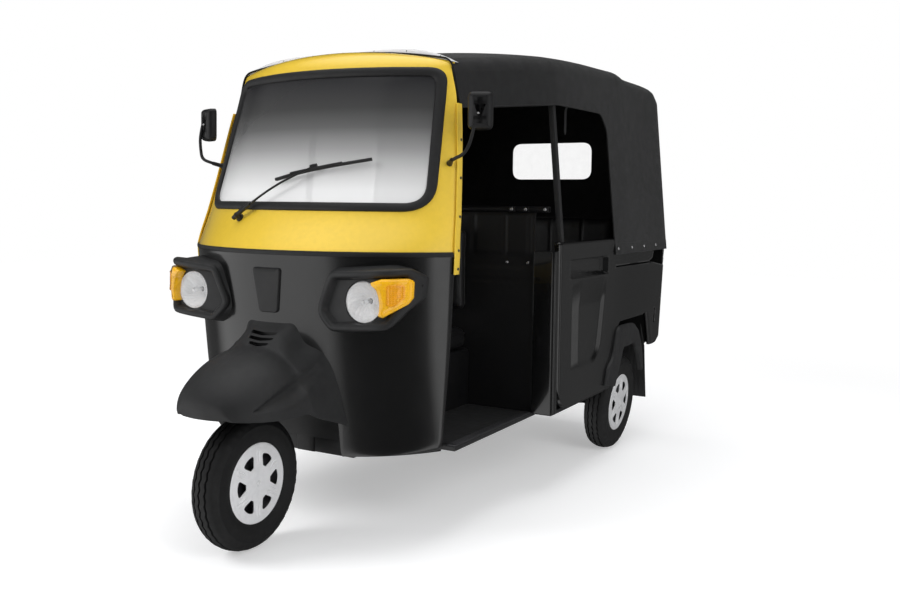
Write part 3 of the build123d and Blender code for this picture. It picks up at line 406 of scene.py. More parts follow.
    def build(self) -> bpy.types.Material:
        """Builds the whole tree and returns the material."""
        if self.finish.pattern is Pattern.SCREEN:
            self.painted_reflection_veil()
        elif self.finish.pattern is Pattern.CLEAR:
            self.clear()
        else:
            self.wander()
            self.detail()
        return self.material


MATERIALS: dict[Coat, bpy.types.Material] = {}


def material(coat: Coat) -> bpy.types.Material:
    """Returns the material of a finish, built on first use."""
    if coat not in MATERIALS:
        MATERIALS[coat] = Weaver(coat.name.lower(), coat.value).build()
    return MATERIALS[coat]


def publish(piece: Piece, coat: Coat, body: str = "body", replaces: Sequence[str] = ()) -> Piece:
    """Dresses a finished piece, sets the body that it rides on, and reports it.

    Args:
        piece: the finished piece.
        coat: its finish.
        body: CAD body that carries it.
        replaces: CAD nodes that it stands for.

    Returns:
        The piece.
    """
    if not piece.data.materials:
        piece.data.materials.append(material(coat))
    else:
        piece.data.materials[0] = material(coat)
    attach(piece, body)
    if replaces:
        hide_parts(*replaces)
    LOG.info("%-24s %-10s on %-16s %6d faces", piece.name, coat.name, body, len(piece.data.polygons))
    return piece


# ---- bench tools -----------------------------------------------------------------------
def take(*pieces: Piece) -> None:
    """Selects only these pieces and makes the first one active."""
    if bpy.context.object and bpy.context.object.mode != "OBJECT":
        bpy.ops.object.mode_set(mode="OBJECT")
    bpy.ops.object.select_all(action="DESELECT")
    for piece in pieces:
        piece.select_set(True)
    if pieces:
        bpy.context.view_layer.objects.active = pieces[0]


def named(name: str) -> Piece:
    """Names the primitive that was just added, and returns it."""
    piece = bpy.context.object
    piece.name = piece.data.name = name
    return piece


def modify(piece: Piece, kind: str, **settings: object) -> Piece:
    """Adds a modifier, applies it, and returns the piece."""
    take(piece)
    modifier = piece.modifiers.new(kind.title(), kind)
    for key, value in settings.items():
        setattr(modifier, key, value)
    bpy.ops.object.modifier_apply(modifier=modifier.name)
    return piece


def tidy(piece: Piece, caps: bool = False, gap: float = 1e-5) -> Piece:
    """Merges doubles, closes open ends if asked, and turns the faces outward."""
    take(piece)
    bpy.ops.object.mode_set(mode="EDIT")
    bpy.ops.mesh.select_all(action="SELECT")
    bpy.ops.mesh.remove_doubles(threshold=gap)
    if caps:
        bpy.ops.mesh.fill_holes(sides=0)
    bpy.ops.mesh.select_all(action="SELECT")
    bpy.ops.mesh.normals_make_consistent(inside=False)
    bpy.ops.object.mode_set(mode="OBJECT")
    return piece


def smooth(piece: Piece, degrees: float = 35.0) -> Piece:
    """Shades a piece smooth, with edges sharper than the angle left crisp."""
    take(piece)
    bpy.ops.object.shade_smooth_by_angle(angle=math.radians(degrees))
    return piece


def surface(name: str, across: int, along: int, place: Callable[[float, float], Sequence[float]]) -> Piece:
    """Shapes a grid into a free surface.

    Args:
        name: name of the piece.
        across: cells in the first direction.
        along: cells in the second direction.
        place: gives a point from the two shares, each from 0 to 1.

    Returns:
        The surface, with a UV map named cloth that holds its two lengths in metres.
    """
    take()
    bpy.ops.mesh.primitive_grid_add(x_subdivisions=across, y_subdivisions=along, size=1.0)
    piece = named(name)
    mesh = piece.data
    shares = [(round((v.co.x + 0.5) * across) / across, round((v.co.y + 0.5) * along) / along)
              for v in mesh.vertices]
    for vertex, (u, v) in zip(mesh.vertices, shares):
        vertex.co = place(u, v)
    mesh.uv_layers[0].name = "cloth"
    middle = [Vector(place(0.5, (i + 0.5) / 12)) for i in range(12)]
    length = sum((b - a).length for a, b in zip(middle, middle[1:])) * 12 / 11
    girth = [Vector(place((i + 0.5) / 24, 0.5)) for i in range(24)]
    width = sum((b - a).length for a, b in zip(girth, girth[1:])) * 24 / 23
    for loop in mesh.loops:
        u, v = shares[loop.vertex_index]
        mesh.uv_layers[0].data[loop.index].uv = (u * width, v * length)
    return piece


def loft(name: str, loops: Sequence[Sequence[Sequence[float]]], closed: bool = True,
         caps: bool = True) -> Piece:
    """Skins a row of loops that have the same number of points.

    Args:
        name: name of the piece.
        loops: the loops, each a list of points.
        closed: whether each loop joins up with its start.
        caps: whether the first and last loops are closed with a face.

    Returns:
        The skin.
    """
    count = len(loops[0])
    cells = count if closed else count - 1

    def place(u: float, v: float) -> Sequence[float]:
        """Point of the nearest loop and place on it."""
        return loops[round(v * (len(loops) - 1))][round(u * cells) % count]

    return tidy(surface(name, cells, len(loops) - 1, place), caps)


def prism(name: str, outline: Sequence[Flat], axis: str, start: float, stop: float) -> Piece:
    """Extrudes a flat outline along an axis: x takes (station, z), y takes (x, z), z takes (x, station)."""
    def lift(point: Flat, depth: float) -> Solid:
        """Puts a flat point at a depth along the axis."""
        if axis == "x":
            return (depth, at(point[0]), point[1])
        if axis == "y":
            return (point[0], at(depth), point[1])
        return (point[0], at(point[1]), depth)

    return loft(name, [[lift(point, depth) for point in outline] for depth in (start, stop)])


def brick(name: str, low: Solid, high: Solid, radius: float = 0.004, segments: int = 2) -> Piece:
    """Block between two corners given as (x, station, z), with rounded edges."""
    take()
    bpy.ops.mesh.primitive_cube_add(size=1.0)
    piece = named(name)
    for vertex in piece.data.vertices:
        share = vertex.co + Vector((0.5, 0.5, 0.5))
        vertex.co = (low[0] + share.x * (high[0] - low[0]), at(low[1] + share.y * (high[1] - low[1])),
                     low[2] + share.z * (high[2] - low[2]))
    tidy(piece)
    return soften(piece, radius, segments) if radius else piece


def soften(piece: Piece, radius: float, segments: int = 2, degrees: float = 35.0) -> Piece:
    """Rounds the edges that are sharper than an angle, and shades the piece smooth."""
    modify(piece, "BEVEL", width=radius, segments=segments, limit_method="ANGLE",
           angle_limit=math.radians(degrees), harden_normals=False, use_clamp_overlap=True)
    return smooth(piece, 40.0)


def thicken(piece: Piece, wall: float, offset: float = -1.0, even: bool = True) -> Piece:
    """Gives a sheet its wall; offset -1 grows it inward, 1 outward."""
    return modify(piece, "SOLIDIFY", thickness=wall, offset=offset, use_even_offset=even)


def carve(piece: Piece, cutter: Piece, operation: str = "DIFFERENCE") -> Piece:
    """Cuts, joins or keeps what is common with another solid, which is used up."""
    modify(piece, "BOOLEAN", operation=operation, solver="EXACT", object=cutter)
    bpy.data.objects.remove(cutter, do_unlink=True)
    return piece


def join(name: str, pieces: Sequence[Piece]) -> Piece:
    """Joins pieces into one object with a name."""
    take(*pieces)
    if len(pieces) > 1:
        bpy.ops.object.join()
    return named(name)


def lathe(name: str, profile: Sequence[Flat], frame: Matrix, steps: int = 48,
          bend: Callable[[float, float, float], tuple[float, float]] | None = None) -> Piece:
    """Turns a profile of (radius, reach along the axis) around an axis.

    Args:
        name: name of the piece.
        profile: points of the profile; it closes on itself if its ends meet.
        frame: place of the axis, which is the frame's local X.
        steps: number of steps around.
        bend: changes (radius, reach) at an angle, as tread does.

    Returns:
        The turned piece.
    """
    def place(u: float, v: float) -> Vector:
        """Point of the profile at a turn."""
        radius, reach = profile[round(v * (len(profile) - 1))]
        angle = 2 * math.pi * round(u * steps) / steps
        if bend:
            radius, reach = bend(radius, reach, angle)
        return frame @ Vector((reach, radius * math.cos(angle), radius * math.sin(angle)))

    return tidy(surface(name, steps, len(profile) - 1, place))


def turned(name: str, profile: Sequence[Flat], frame: Matrix, *settings: object) -> Piece:
    """Turns a profile as lathe does, shaded smooth but for its real corners."""
    return smooth(lathe(name, profile, frame, *settings), TURNED_CREASE)


def tube(name: str, points: Sequence[Solid], radius: float, sides: int = 3, ring: bool = False) -> Piece:
    """Round bar that follows points given as (x, station, z), smooth at its bends."""
    curve = bpy.data.curves.new(name, "CURVE")
    curve.dimensions = "3D"
    spline = curve.splines.new("NURBS")
    spline.points.add(len(points) - 1)
    for point, (x, station, z) in zip(spline.points, points):
        point.co = (x, at(station), z, 1.0)
    spline.order_u = 3
    spline.use_cyclic_u = ring
    spline.use_endpoint_u = not ring
    curve.bevel_depth = radius
    curve.bevel_resolution = sides
    curve.resolution_u = 8
    curve.use_fill_caps = not ring
    piece = bpy.data.objects.new(name, curve)
    bpy.context.scene.collection.objects.link(piece)
    take(piece)
    bpy.ops.object.convert(target="MESH")
    return smooth(tidy(named(name)), 50.0)


def aim(origin: Sequence[float], axis: Sequence[float]) -> Matrix:
    """Frame at a point whose local X follows an axis and whose local Z is as upright as it can be."""
    x = Vector(axis).normalized()
    up = Vector((0, 0, 1)) if abs(x.z) < 0.95 else Vector((0, 1, 0))
    y = up.cross(x).normalized()
    return Matrix.Translation(origin) @ Matrix((x, y, x.cross(y))).transposed().to_4x4()


def spot(x: float, station: float, z: float) -> Vector:
    """Point from x, station and height."""
    return Vector((x, at(station), z))


def studs(name: str, places: Iterable[tuple[Vector, Sequence[float]]], radius: float, height: float) -> Piece:
    """Domed rivets or bolt heads at points, each facing its own way, as one piece."""
    dome = [(0.0, height), (radius * 0.45, height * 0.92), (radius * 0.8, height * 0.62),
            (radius, height * 0.15), (radius, -height * 0.6)]
    return join(name, [smooth(lathe(name, dome, aim(point, facing), 12), 60) for point, facing in places])


def mirrored(piece: Piece, name: str) -> Piece:
    """Copy of a piece on the vehicle's other side, with its own mesh."""
    twin = piece.copy()
    twin.data = piece.data.copy()
    twin.name = twin.data.name = name
    bpy.context.scene.collection.objects.link(twin)
    twin.data.transform(Matrix.Scale(-1, 4, (1, 0, 0)))
    twin.data.flip_normals()
    return twin


def both(piece: Piece, name: str) -> Piece:
    """Joins a piece with its mirror image."""
    return join(name, [piece, mirrored(piece, name + "_twin")])


def rounded(corners: Sequence[Flat], radii: Sequence[float], steps: int = 6) -> list[Flat]:
    """Polygon with each corner turned into an arc.

    Args:
        corners: the corners, in order.
        radii: one radius for each corner.
        steps: steps in each arc.

    Returns:
        The points of the rounded polygon.
    """
    points: list[Flat] = []
    for i, corner in enumerate(corners):
        here = Vector(corner)
        before = (Vector(corners[i - 1]) - here)
        after = (Vector(corners[(i + 1) % len(corners)]) - here)
        turn = before.angle(after)
        reach = min(radii[i] / math.tan(turn / 2), before.length * 0.48, after.length * 0.48)
        first, last = here + before.normalized() * reach, here + after.normalized() * reach
        for k in range(steps + 1):
            share = k / steps
            point = first * (1 - share) ** 2 + here * 2 * share * (1 - share) + last * share ** 2
            points.append((point.x, point.y))
    return points


def dense(outline: Sequence[Flat], gap: float) -> list[Flat]:
    """Closed outline with points added so that no two are further apart than a gap."""
    points: list[Flat] = []
    for a, b in zip(outline, [*outline[1:], outline[0]]):
        cuts = 1 + int(math.dist(a, b) / gap)
        points += [(a[0] + (b[0] - a[0]) * k / cuts, a[1] + (b[1] - a[1]) * k / cuts) for k in range(cuts)]
    return points


def inset(outline: Sequence[Flat], depth: float) -> list[Flat]:
    """Outline drawn in by a depth, whichever way it runs round."""
    area = sum(a[0] * b[1] - b[0] * a[1] for a, b in zip(outline, [*outline[1:], outline[0]]))
    side = 1 if area > 0 else -1
    result = []
    for i, point in enumerate(outline):
        back, ahead = Vector(outline[i - 1]), Vector(outline[(i + 1) % len(outline)])
        run = (ahead - back).normalized()
        result.append((point[0] - side * depth * run.y, point[1] + side * depth * run.x))
    return result


def inside(outline: Sequence[Flat], across: float, up: float) -> float:
    """Distance of a point from a closed outline: positive inside it, negative outside."""
    point, within, least = Vector((across, up)), False, 9.0
    for a, b in zip(outline, [*outline[1:], outline[0]]):
        if (a[1] > up) != (b[1] > up) and across < a[0] + (b[0] - a[0]) * (up - a[1]) / (b[1] - a[1]):
            within = not within
        start, run = Vector(a), Vector(b) - Vector(a)
        share = clamp((point - start).dot(run) / run.length_squared)
        least = min(least, (point - start - run * share).length)
    return least if within else -least


def shrink(outline: Sequence[Flat], share: float) -> list[Flat]:
    """Outline drawn towards its middle by a share."""
    x = sum(p[0] for p in outline) / len(outline)
    z = sum(p[1] for p in outline) / len(outline)
    return [(x + (p[0] - x) * share, z + (p[1] - z) * share) for p in outline]


def spline(values: Sequence[float], share: float) -> float:
    """Smooth value at a share, 0 to 1, along evenly spaced control values."""
    place = min(max(share, 0.0), 1.0) * (len(values) - 1)
    i = min(int(place), len(values) - 2)
    t = place - i
    a = values[i - 1] if i else 2 * values[0] - values[1]
    b, c = values[i], values[i + 1]
    d = values[i + 2] if i + 2 < len(values) else 2 * values[-1] - values[-2]
    return b + 0.5 * t * (c - a + t * (2 * a - 5 * b + 4 * c - d + t * (3 * (b - c) + d - a)))


def along_table(rows: Sequence[Sequence[float]], column: int, value: float) -> float:
    """Smooth column of a table at a value of its first column."""
    keys = [row[0] for row in rows]
    if value <= keys[0]:
        return rows[0][column]
    if value >= keys[-1]:
        return rows[-1][column]
    i = max(k for k in range(len(keys) - 1) if keys[k] <= value)

    def slope(k: int) -> float:
        """Slope of the column at a row."""
        low, high = max(k - 1, 0), min(k + 1, len(keys) - 1)
        return (rows[high][column] - rows[low][column]) / (keys[high] - keys[low])

    gap = keys[i + 1] - keys[i]
    t = (value - keys[i]) / gap
    return ((1 + 2 * t) * (1 - t) ** 2 * rows[i][column] + t * (1 - t) ** 2 * gap * slope(i)
            + t * t * (3 - 2 * t) * rows[i + 1][column] + t * t * (t - 1) * gap * slope(i + 1))


# ---- front shell -----------------------------------------------------------------------
class Face:
    """Outer face of the front shell: at each height a circular arc in plan."""

    def __init__(self, levels: Sequence[Sequence[float]]) -> None:
        """Keeps the levels, each a height, station of the centre, arc radius and half width."""
        self.levels = levels

    def level(self, z: float) -> tuple[float, float, float]:
        """Station of the centre, arc radius and half width at a height."""
        return (along_table(self.levels, 1, z), along_table(self.levels, 2, z),
                along_table(self.levels, 3, z))

    def station(self, x: float, z: float) -> float:
        """Station of the face at a point of the front view."""
        centre, radius, _ = self.level(z)
        return centre + radius - math.sqrt(max(radius ** 2 - x ** 2, 0.0))

    def point(self, x: float, z: float, proud: float = 0.0) -> Vector:
        """Point that stands proud of the face, square to it."""
        step = 0.002
        slope_x = (self.station(x + step, z) - self.station(x - step, z)) / (2 * step)
        slope_z = (self.station(x, z + step) - self.station(x, z - step)) / (2 * step)
        normal = Vector((slope_x, -1.0, slope_z)).normalized()
        return spot(x, self.station(x, z), z) + normal * proud

    def normal(self, x: float, z: float) -> Vector:
        """Outward normal of the face."""
        return (self.point(x, z, 1.0) - self.point(x, z)).normalized()

    def ring(self, share: float, z: float, depth: float = 0.0) -> Vector:
        """Point at a share of the arc, -1 at the right door edge and 1 at the left one."""
        centre, radius, half = self.level(z)
        angle = share * math.asin(half / radius)
        reach = radius - depth
        return spot(reach * math.sin(angle), centre + radius - reach * math.cos(angle), z)


COWL = Face(((0.335, 0.19, 0.76, 0.55), (0.7, 0.135, 0.745, 0.583), (1.048, 0.098, 0.753, 0.605)))
SCREEN = Face(((1.048, 0.098, 0.753, 0.605), (1.198, 0.207, 0.836, 0.585), (1.6, 0.35, 0.835, 0.53),
               (1.728, 0.398, 0.85, 0.496), (1.772, 0.43, 0.85, 0.476)))


def boss(name: str, outline: Sequence[Flat], steps: Sequence[tuple[float, float]],
         place: Callable[[float, float, float], Vector], rings: Sequence[float] = (0.66, 0.33, 0.0)) -> Piece:
    """Raised or sunk plate that follows a curved face.

    Args:
        name: name of the piece.
        outline: outline in the front view.
        steps: pairs of (inset of the outline, height off the face), from the root to the top.
        place: puts (x, z, height) on the face.
        rings: shares of the last outline that fill its middle.

    Returns:
        The plate.
    """
    loops = [[place(x, z, height) for x, z in inset(outline, depth)] for depth, height in steps]
    top, height = inset(outline, steps[-1][0]), steps[-1][1]
    loops += [[place(x, z, height) for x, z in shrink(top, ring)] for ring in rings]
    return smooth(loft(name, loops), 40)


@dataclass
class Cowl:
    """Dark lower front with its trim, plaque and the wheel arch."""

    wall: float = 0.022
    arch_half: float = 0.24
    arch_shoulder: float = 0.54
    arch_top: float = 0.65
    plaque_top: Flat = (0.0625, 0.99)
    plaque_bottom: Flat = (0.041, 0.829)
    plaque_rise: float = 0.009

    def panel(self) -> Piece:
        """Curved panel with the arch cut out of it."""
        def place(u: float, v: float) -> Vector:
            """Point of the panel; the bottom edge turns under a little."""
            foot = 0.303 + 0.024 * (2 * u - 1) ** 2
            z = foot + v * (COWL_TOP - 0.003 - foot)
            tuck = 0.012 * max(0.0, 1 - v / 0.05) ** 2
            return COWL.ring(2 * u - 1, z, tuck)

        panel = thicken(surface("cowl_shell", 72, 40, place), self.wall)
        arch = rounded(((-self.arch_half, 0.2), (-self.arch_half, self.arch_shoulder), (-0.12, self.arch_top),
                        (0.12, self.arch_top), (self.arch_half, self.arch_shoulder), (self.arch_half, 0.2)),
                       (0.01, 0.09, 0.09, 0.09, 0.09, 0.01))
        carve(panel, prism("arch_cutter", arch, "y", 0.0, 0.42))
        return soften(panel, 0.003, 2, 50)

    def trim(self) -> Piece:
        """Black moulding between the cowl and the yellow panel."""
        profile = [(0.0, -0.009), (0.003, -0.0095), (0.0052, -0.005), (0.0056, 0.0), (0.0052, 0.005),
                   (0.003, 0.0085), (0.0, 0.008)]

        def place(u: float, v: float) -> Vector:
            """Point of the half-round moulding."""
            proud, rise = profile[round(v * (len(profile) - 1))]
            share = 0.99 * (2 * u - 1)
            base = COWL.ring(share, COWL_TOP - 0.001)
            out = (base - COWL.ring(share, COWL_TOP - 0.001, 0.01)).normalized()
            return base + out * proud + Vector((0, 0, rise))

        return smooth(thicken(surface("belt_trim", 72, 6, place), 0.002), 50)

    def plaque(self) -> Piece:
        """Plain raised plaque on the centre line; nothing is written on it."""
        (top, high), (bottom, low) = self.plaque_top, self.plaque_bottom
        outline = rounded(((-top, high), (top, high), (bottom, low), (-bottom, low)),
                          (0.012, 0.012, 0.016, 0.016))
        steps = ((-0.002, -0.003), (-0.001, 0.0), (0.0, self.plaque_rise * 0.7), (0.003, self.plaque_rise))
        return boss("badge_plaque", outline, steps, COWL.point)

    def build(self) -> None:
        """Makes and publishes the cowl's pieces."""
        publish(self.panel(), Coat.CHARCOAL, replaces=["front_cowl"])
        publish(self.trim(), Coat.RUBBER)
        publish(self.plaque(), Coat.BLACK)


@dataclass
class Lamps:
    """Headlamp pods with their round lamps and amber corner lenses."""

    lamp_x: float = 0.391
    lamp_z: float = 0.886
    lamp_radius: float = 0.072
    recess: float = 0.024

    OUTLINE = ((0.196, 0.842), (0.262, 0.988), (0.55, 1.006), (0.572, 0.972), (0.567, 0.896), (0.5, 0.796),
               (0.268, 0.778))
    OUTLINE_RADII = (0.05, 0.05, 0.04, 0.035, 0.05, 0.06, 0.05)
    FRONT = ((0.16, 0.15), (0.2, 0.134), (0.24, 0.122), (0.32, 0.116), (0.42, 0.119), (0.47, 0.13),
             (0.505, 0.153), (0.532, 0.185), (0.551, 0.221), (0.563, 0.261), (0.576, 0.312))
    AMBER = ((0.434, 0.956), (0.445, 0.946), (0.456, 0.931), (0.4635, 0.908), (0.4665, 0.886), (0.466, 0.862),
             (0.462, 0.843), (0.478, 0.838), (0.54, 0.884), (0.549, 0.905), (0.55, 0.962), (0.541, 0.972),
             (0.472, 0.97))

    def front(self, x: float) -> float:
        """Station of the pod's front at an x."""
        return along_table(self.FRONT, 1, x)

    def place(self, x: float, z: float, proud: float) -> Vector:
        """Point off the pod's front, pushed out square to its plan."""
        step = 0.004
        slope = (self.front(x + step) - self.front(x - step)) / (2 * step)
        length = math.hypot(slope, 1)
        return spot(x + proud * slope / length, self.front(x) - proud / length, z)

    def shell(self) -> Piece:
        """Pod: a raised rim around a recess, on a skirt that meets the cowl."""
        outline = dense(rounded(self.OUTLINE, self.OUTLINE_RADII, 7), 0.012)
        wide, close, snug = (inset(outline, depth) for depth in (-0.012, -0.005, 0.006))
        skirt, foot = [], []
        for (x, z), (x1, z1), (x2, z2) in zip(wide, close, snug):
            share = self.recede(x + (0.06 if z < 0.87 else 0.0))
            x, z, x1, z1 = (a + (b - a) * share for a, b in ((x, x2), (z, z2), (x1, x2), (z1, z2)))
            root, face = COWL.point(x1 - 0.04 * share, z1, 0.001), self.place(x1, z1, -0.012)
            skirt.append(COWL.point(x - 0.045 * share, z, -0.004))
            foot.append(root + (face - root) * 0.6)
        loops = [skirt, foot]
        for depth, height in ((0.0, -0.014), (0.0, -0.007), (0.003, -0.001), (0.008, 0.002), (0.017, 0.0015),
                              (0.023, -0.002), (0.027, -0.008), (0.029, -self.recess + 0.004),
                              (0.033, -self.recess)):
            loops.append([self.place(*self.clear(point, depth), height) for point in inset(outline, depth)])
        floor = [self.clear(point, 0.034) for point in inset(outline, 0.033)]
        for share in (0.66, 0.33, 0.0):
            loops.append([self.place(*self.toward(point, share), -self.recess) for point in floor])
        for reach in (0.006, 0.03):
            loops.append([self.place(*self.toward(point, 0.0), -self.recess - reach) for point in floor])
        return smooth(thicken(loft("lamp_pod", loops, caps=False), 0.0025, even=False), 42)

    @staticmethod
    def recede(x: float) -> float:
        """Share by which the skirt draws in behind the rim, full at the pod's outer end."""
        share = clamp((x - 0.44) / 0.12)
        return share * share * (3 - 2 * share)

    def clear(self, point: Flat, depth: float) -> Flat:
        """Keeps a point of the rim outside the lamp's hole."""
        run = Vector(point) - Vector((self.lamp_x, self.lamp_z))
        least = self.lamp_radius + 0.0025 + max(0.0, 0.033 - depth) * 0.25
        return tuple(Vector((self.lamp_x, self.lamp_z)) + run * max(1.0, least / run.length))

    def toward(self, point: Flat, share: float) -> Flat:
        """Point between the lamp's hole, at share 0, and a point of the recess, at share 1."""
        run = Vector(point) - Vector((self.lamp_x, self.lamp_z))
        reach = self.lamp_radius + 0.002
        return tuple(Vector((self.lamp_x, self.lamp_z)) + run
                     * ((reach + (run.length - reach) * share) / run.length))

    def screws(self) -> Piece:
        """Small screw at the outer end of each rim."""
        left = self.place(0.561, 0.945, 0.002)
        return studs("pod_screws", [(left, (0.9, -0.4, 0)),
                                    (Vector((-left.x, left.y, left.z)), (-0.9, -0.4, 0))], 0.0045, 0.0015)

    def reflector(self) -> Piece:
        """Faceted bowl with its flange, in a near-white finish that is painted reflection."""
        radius = self.lamp_radius
        bowl = [(radius + 0.001, 0.004), (radius - 0.001, 0.0), (radius - 0.005, 0.003), (0.06, 0.011),
                (0.05, 0.021), (0.04, 0.029), (0.03, 0.036), (0.02, 0.041), (0.011, 0.044), (0.01, 0.05)]

        def facet(r: float, reach: float, angle: float) -> tuple[float, float]:
            """Steps each facet back and forth a little."""
            turn = round(angle / (2 * math.pi) * 40)
            cell = (turn + int(r * 100)) % 2
            return (r, reach + (0.0016 * cell if 0.015 < r < 0.066 else 0.0))

        bowl_piece = lathe("reflector", bowl, aim(spot(self.lamp_x, 0.145, self.lamp_z), (0, 1, 0)), 40,
                           facet)
        return thicken(bowl_piece, 0.0012)

    def lens(self) -> Piece:
        """Clear dome with a flat rim."""
        radius = self.lamp_radius
        dome = [(radius + 0.0005, 0.006), (radius + 0.0005, 0.0), (radius - 0.003, -0.0035), (0.06, -0.0085),
                (0.045, -0.0125), (0.028, -0.0155), (0.012, -0.017), (0.0, -0.0172)]
        piece = lathe("headlamp_lens", dome, aim(spot(self.lamp_x, 0.143, self.lamp_z), (0, 1, 0)), 56)
        return smooth(thicken(piece, 0.002), 50)

    def bulb(self) -> Piece:
        """Bulb shield in the middle of the bowl."""
        cap = [(0.0, -0.02), (0.005, -0.0195), (0.0085, -0.017), (0.0095, -0.012), (0.0095, 0.006),
               (0.006, 0.012), (0.006, 0.032), (0.0, 0.032)]
        return turned("bulb_shield", cap, aim(spot(self.lamp_x, 0.159, self.lamp_z), (0, 1, 0)), 24)

    def amber(self) -> Piece:
        """Amber lens that wraps the pod's outer corner."""
        outline = rounded(self.AMBER, [0.004] * 6 + [0.006, 0.008, 0.02, 0.02, 0.014, 0.014, 0.01], 3)
        root = -self.recess + 0.001
        steps = ((0.0, root), (0.0, 0.0015), (0.0015, 0.0075), (0.005, 0.0115), (0.012, 0.014))
        return boss("indicator_lens", outline, steps, self.place, (0.8, 0.6, 0.4, 0.2, 0.0))

    def amber_core(self) -> Piece:
        """Darker inner frame of the amber lens."""
        outline = rounded(((0.486, 0.95), (0.53, 0.953), (0.53, 0.905), (0.508, 0.878), (0.486, 0.878)),
                          [0.01] * 5)
        steps = ((0.0, 0.0125), (0.001, 0.0154), (0.004, 0.0158), (0.006, 0.0148), (0.007, 0.0144))
        return boss("indicator_core", outline, steps, self.place)

    def build(self) -> None:
        """Makes and publishes the pods, lamps and indicators on both sides."""
        publish(both(self.shell(), "lamp_pods"), Coat.MOULDED, replaces=["headlamp_pods"])
        publish(self.screws(), Coat.FRAME)
        publish(both(self.reflector(), "reflectors"), Coat.PAINTED_REFLECTION)
        publish(both(self.bulb(), "bulb_shields"), Coat.BRIGHT)
        publish(both(self.lens(), "headlamp_lenses"), Coat.LENS, replaces=["headlamps"])
        publish(both(self.amber(), "indicator_lenses"), Coat.AMBER, replaces=["indicators"])
        publish(both(self.amber_core(), "indicator_cores"), Coat.HONEY)


@dataclass
class Mudguard:
    """Front mudguard: a hood over the wheel that grows out of a neck on the cowl."""

    wall: float = 0.004
    # columns: height, middle, half width
    slots: tuple[Solid, ...] = ((0.7565, 0.006, 0.06), (0.7395, 0.01, 0.055), (0.7225, 0.013, 0.044))
    hollow: float = 0.026

    # Each row: station on the centre line, how far back its lip sits, then half the section from the crown to
    # the lip as (x, z). The last row lies on the cowl.
    NET = (
        (-0.243, 0.03, ((0.0, 0.5065), (0.02, 0.5065), (0.04, 0.5065), (0.06, 0.5065), (0.077, 0.506),
                         (0.092, 0.5055), (0.103, 0.505))),
        (-0.2465, 0.034, ((0.0, 0.545), (0.026, 0.545), (0.052, 0.543), (0.077, 0.538), (0.098, 0.53),
                          (0.112, 0.518), (0.118, 0.504))),
        (-0.234, 0.036, ((0.0, 0.58), (0.03, 0.579), (0.06, 0.574), (0.089, 0.563), (0.113, 0.546),
                         (0.129, 0.524), (0.136, 0.502))),
        (-0.2, 0.03, ((0.0, 0.619), (0.037, 0.617), (0.074, 0.609), (0.109, 0.592), (0.137, 0.566),
                         (0.155, 0.533), (0.162, 0.5))),
        (-0.145, 0.015, ((0.0, 0.657), (0.044, 0.654), (0.087, 0.643), (0.127, 0.62), (0.16, 0.585),
                         (0.184, 0.542), (0.194, 0.499))),
        (-0.08, 0.004, ((0.0, 0.687), (0.049, 0.683), (0.098, 0.671), (0.143, 0.643), (0.181, 0.601),
                         (0.21, 0.551), (0.221, 0.498))),
        (-0.015, 0.0, ((0.0, 0.706), (0.052, 0.703), (0.104, 0.689), (0.15, 0.661), (0.193, 0.615),
                       (0.224, 0.557), (0.236, 0.5))),
        (0.04, 0.0, ((0.0, 0.722), (0.048, 0.72), (0.094, 0.706), (0.143, 0.676), (0.196, 0.628),
                      (0.234, 0.565), (0.248, 0.5))),
        (0.062, 0.0, ((0.0, 0.762), (0.047, 0.761), (0.088, 0.751), (0.138, 0.698), (0.2, 0.65),
                      (0.24, 0.572), (0.262, 0.466))),
        (0.122, 0.0, ((0.0, 0.797), (0.06, 0.797), (0.108, 0.793), (0.143, 0.729), (0.21, 0.69),
                      (0.248, 0.596), (0.275, 0.424))),
    )

    def place(self, u: float, v: float) -> Vector:
        """Point of the hood; its end lies on the cowl and its neighbours lean towards it."""
        side, half = (1 if u >= 0.5 else -1), abs(2 * u - 1)
        x, z = (spline([spline([row[2][k][c] for row in self.NET], v) for k in range(7)], half)
                for c in (0, 1))
        run = (v - 0.38) / 0.56
        if 0.0 < run < 1.0:
            off = (half - 0.85 + 0.14 * run) / (0.095 * math.sin(math.pi * run) + 0.012)
            x -= self.hollow * math.sin(math.pi * run) ** 0.5 * max(0.0, 1 - off * off) ** 1.5
        station = (spline([row[0] for row in self.NET], v)
                   + spline([row[1] for row in self.NET], v) * half ** 2)
        pull = max(0.0, (v - 0.8) / 0.2)
        land = COWL.station(x, z) + 0.002
        return spot(side * x, station + (land - station) * pull ** 1.3, z)

    def hood(self) -> Piece:
        """Hood and neck, with three slots in the neck."""
        hood = thicken(surface("mudguard_hood", 88, 84, self.place), self.wall)
        for height, middle, half in self.slots:
            slot = rounded([(middle + x, height + z)
                            for x, z in ((-half, 0.008), (0.0, 0.004), (half, 0.006), (half - 0.006, -0.002),
                                         (0.0, -0.007), (-half + 0.004, -0.002))],
                           [0.004, 0.05, 0.004, 0.004, 0.05, 0.004], 4)
            carve(hood, prism("slot_cutter", slot, "y", -0.02, 0.106))
        return soften(hood, 0.0015, 2, 50)

    def shade_behind_slots(self) -> Piece:
        """Dark block a little way behind the slots: painted shade, so that the slots read dark."""
        return brick("shade_behind_slots_block", (-0.07, 0.114, 0.704), (0.07, 0.124, 0.772))

    def build(self) -> None:
        """Makes and publishes the mudguard."""
        publish(self.hood(), Coat.MOULDED, replaces=["front_mudguard"])
        # Painted shade: a dark block behind the slots.
        publish(self.shade_behind_slots(), Coat.FRAME)


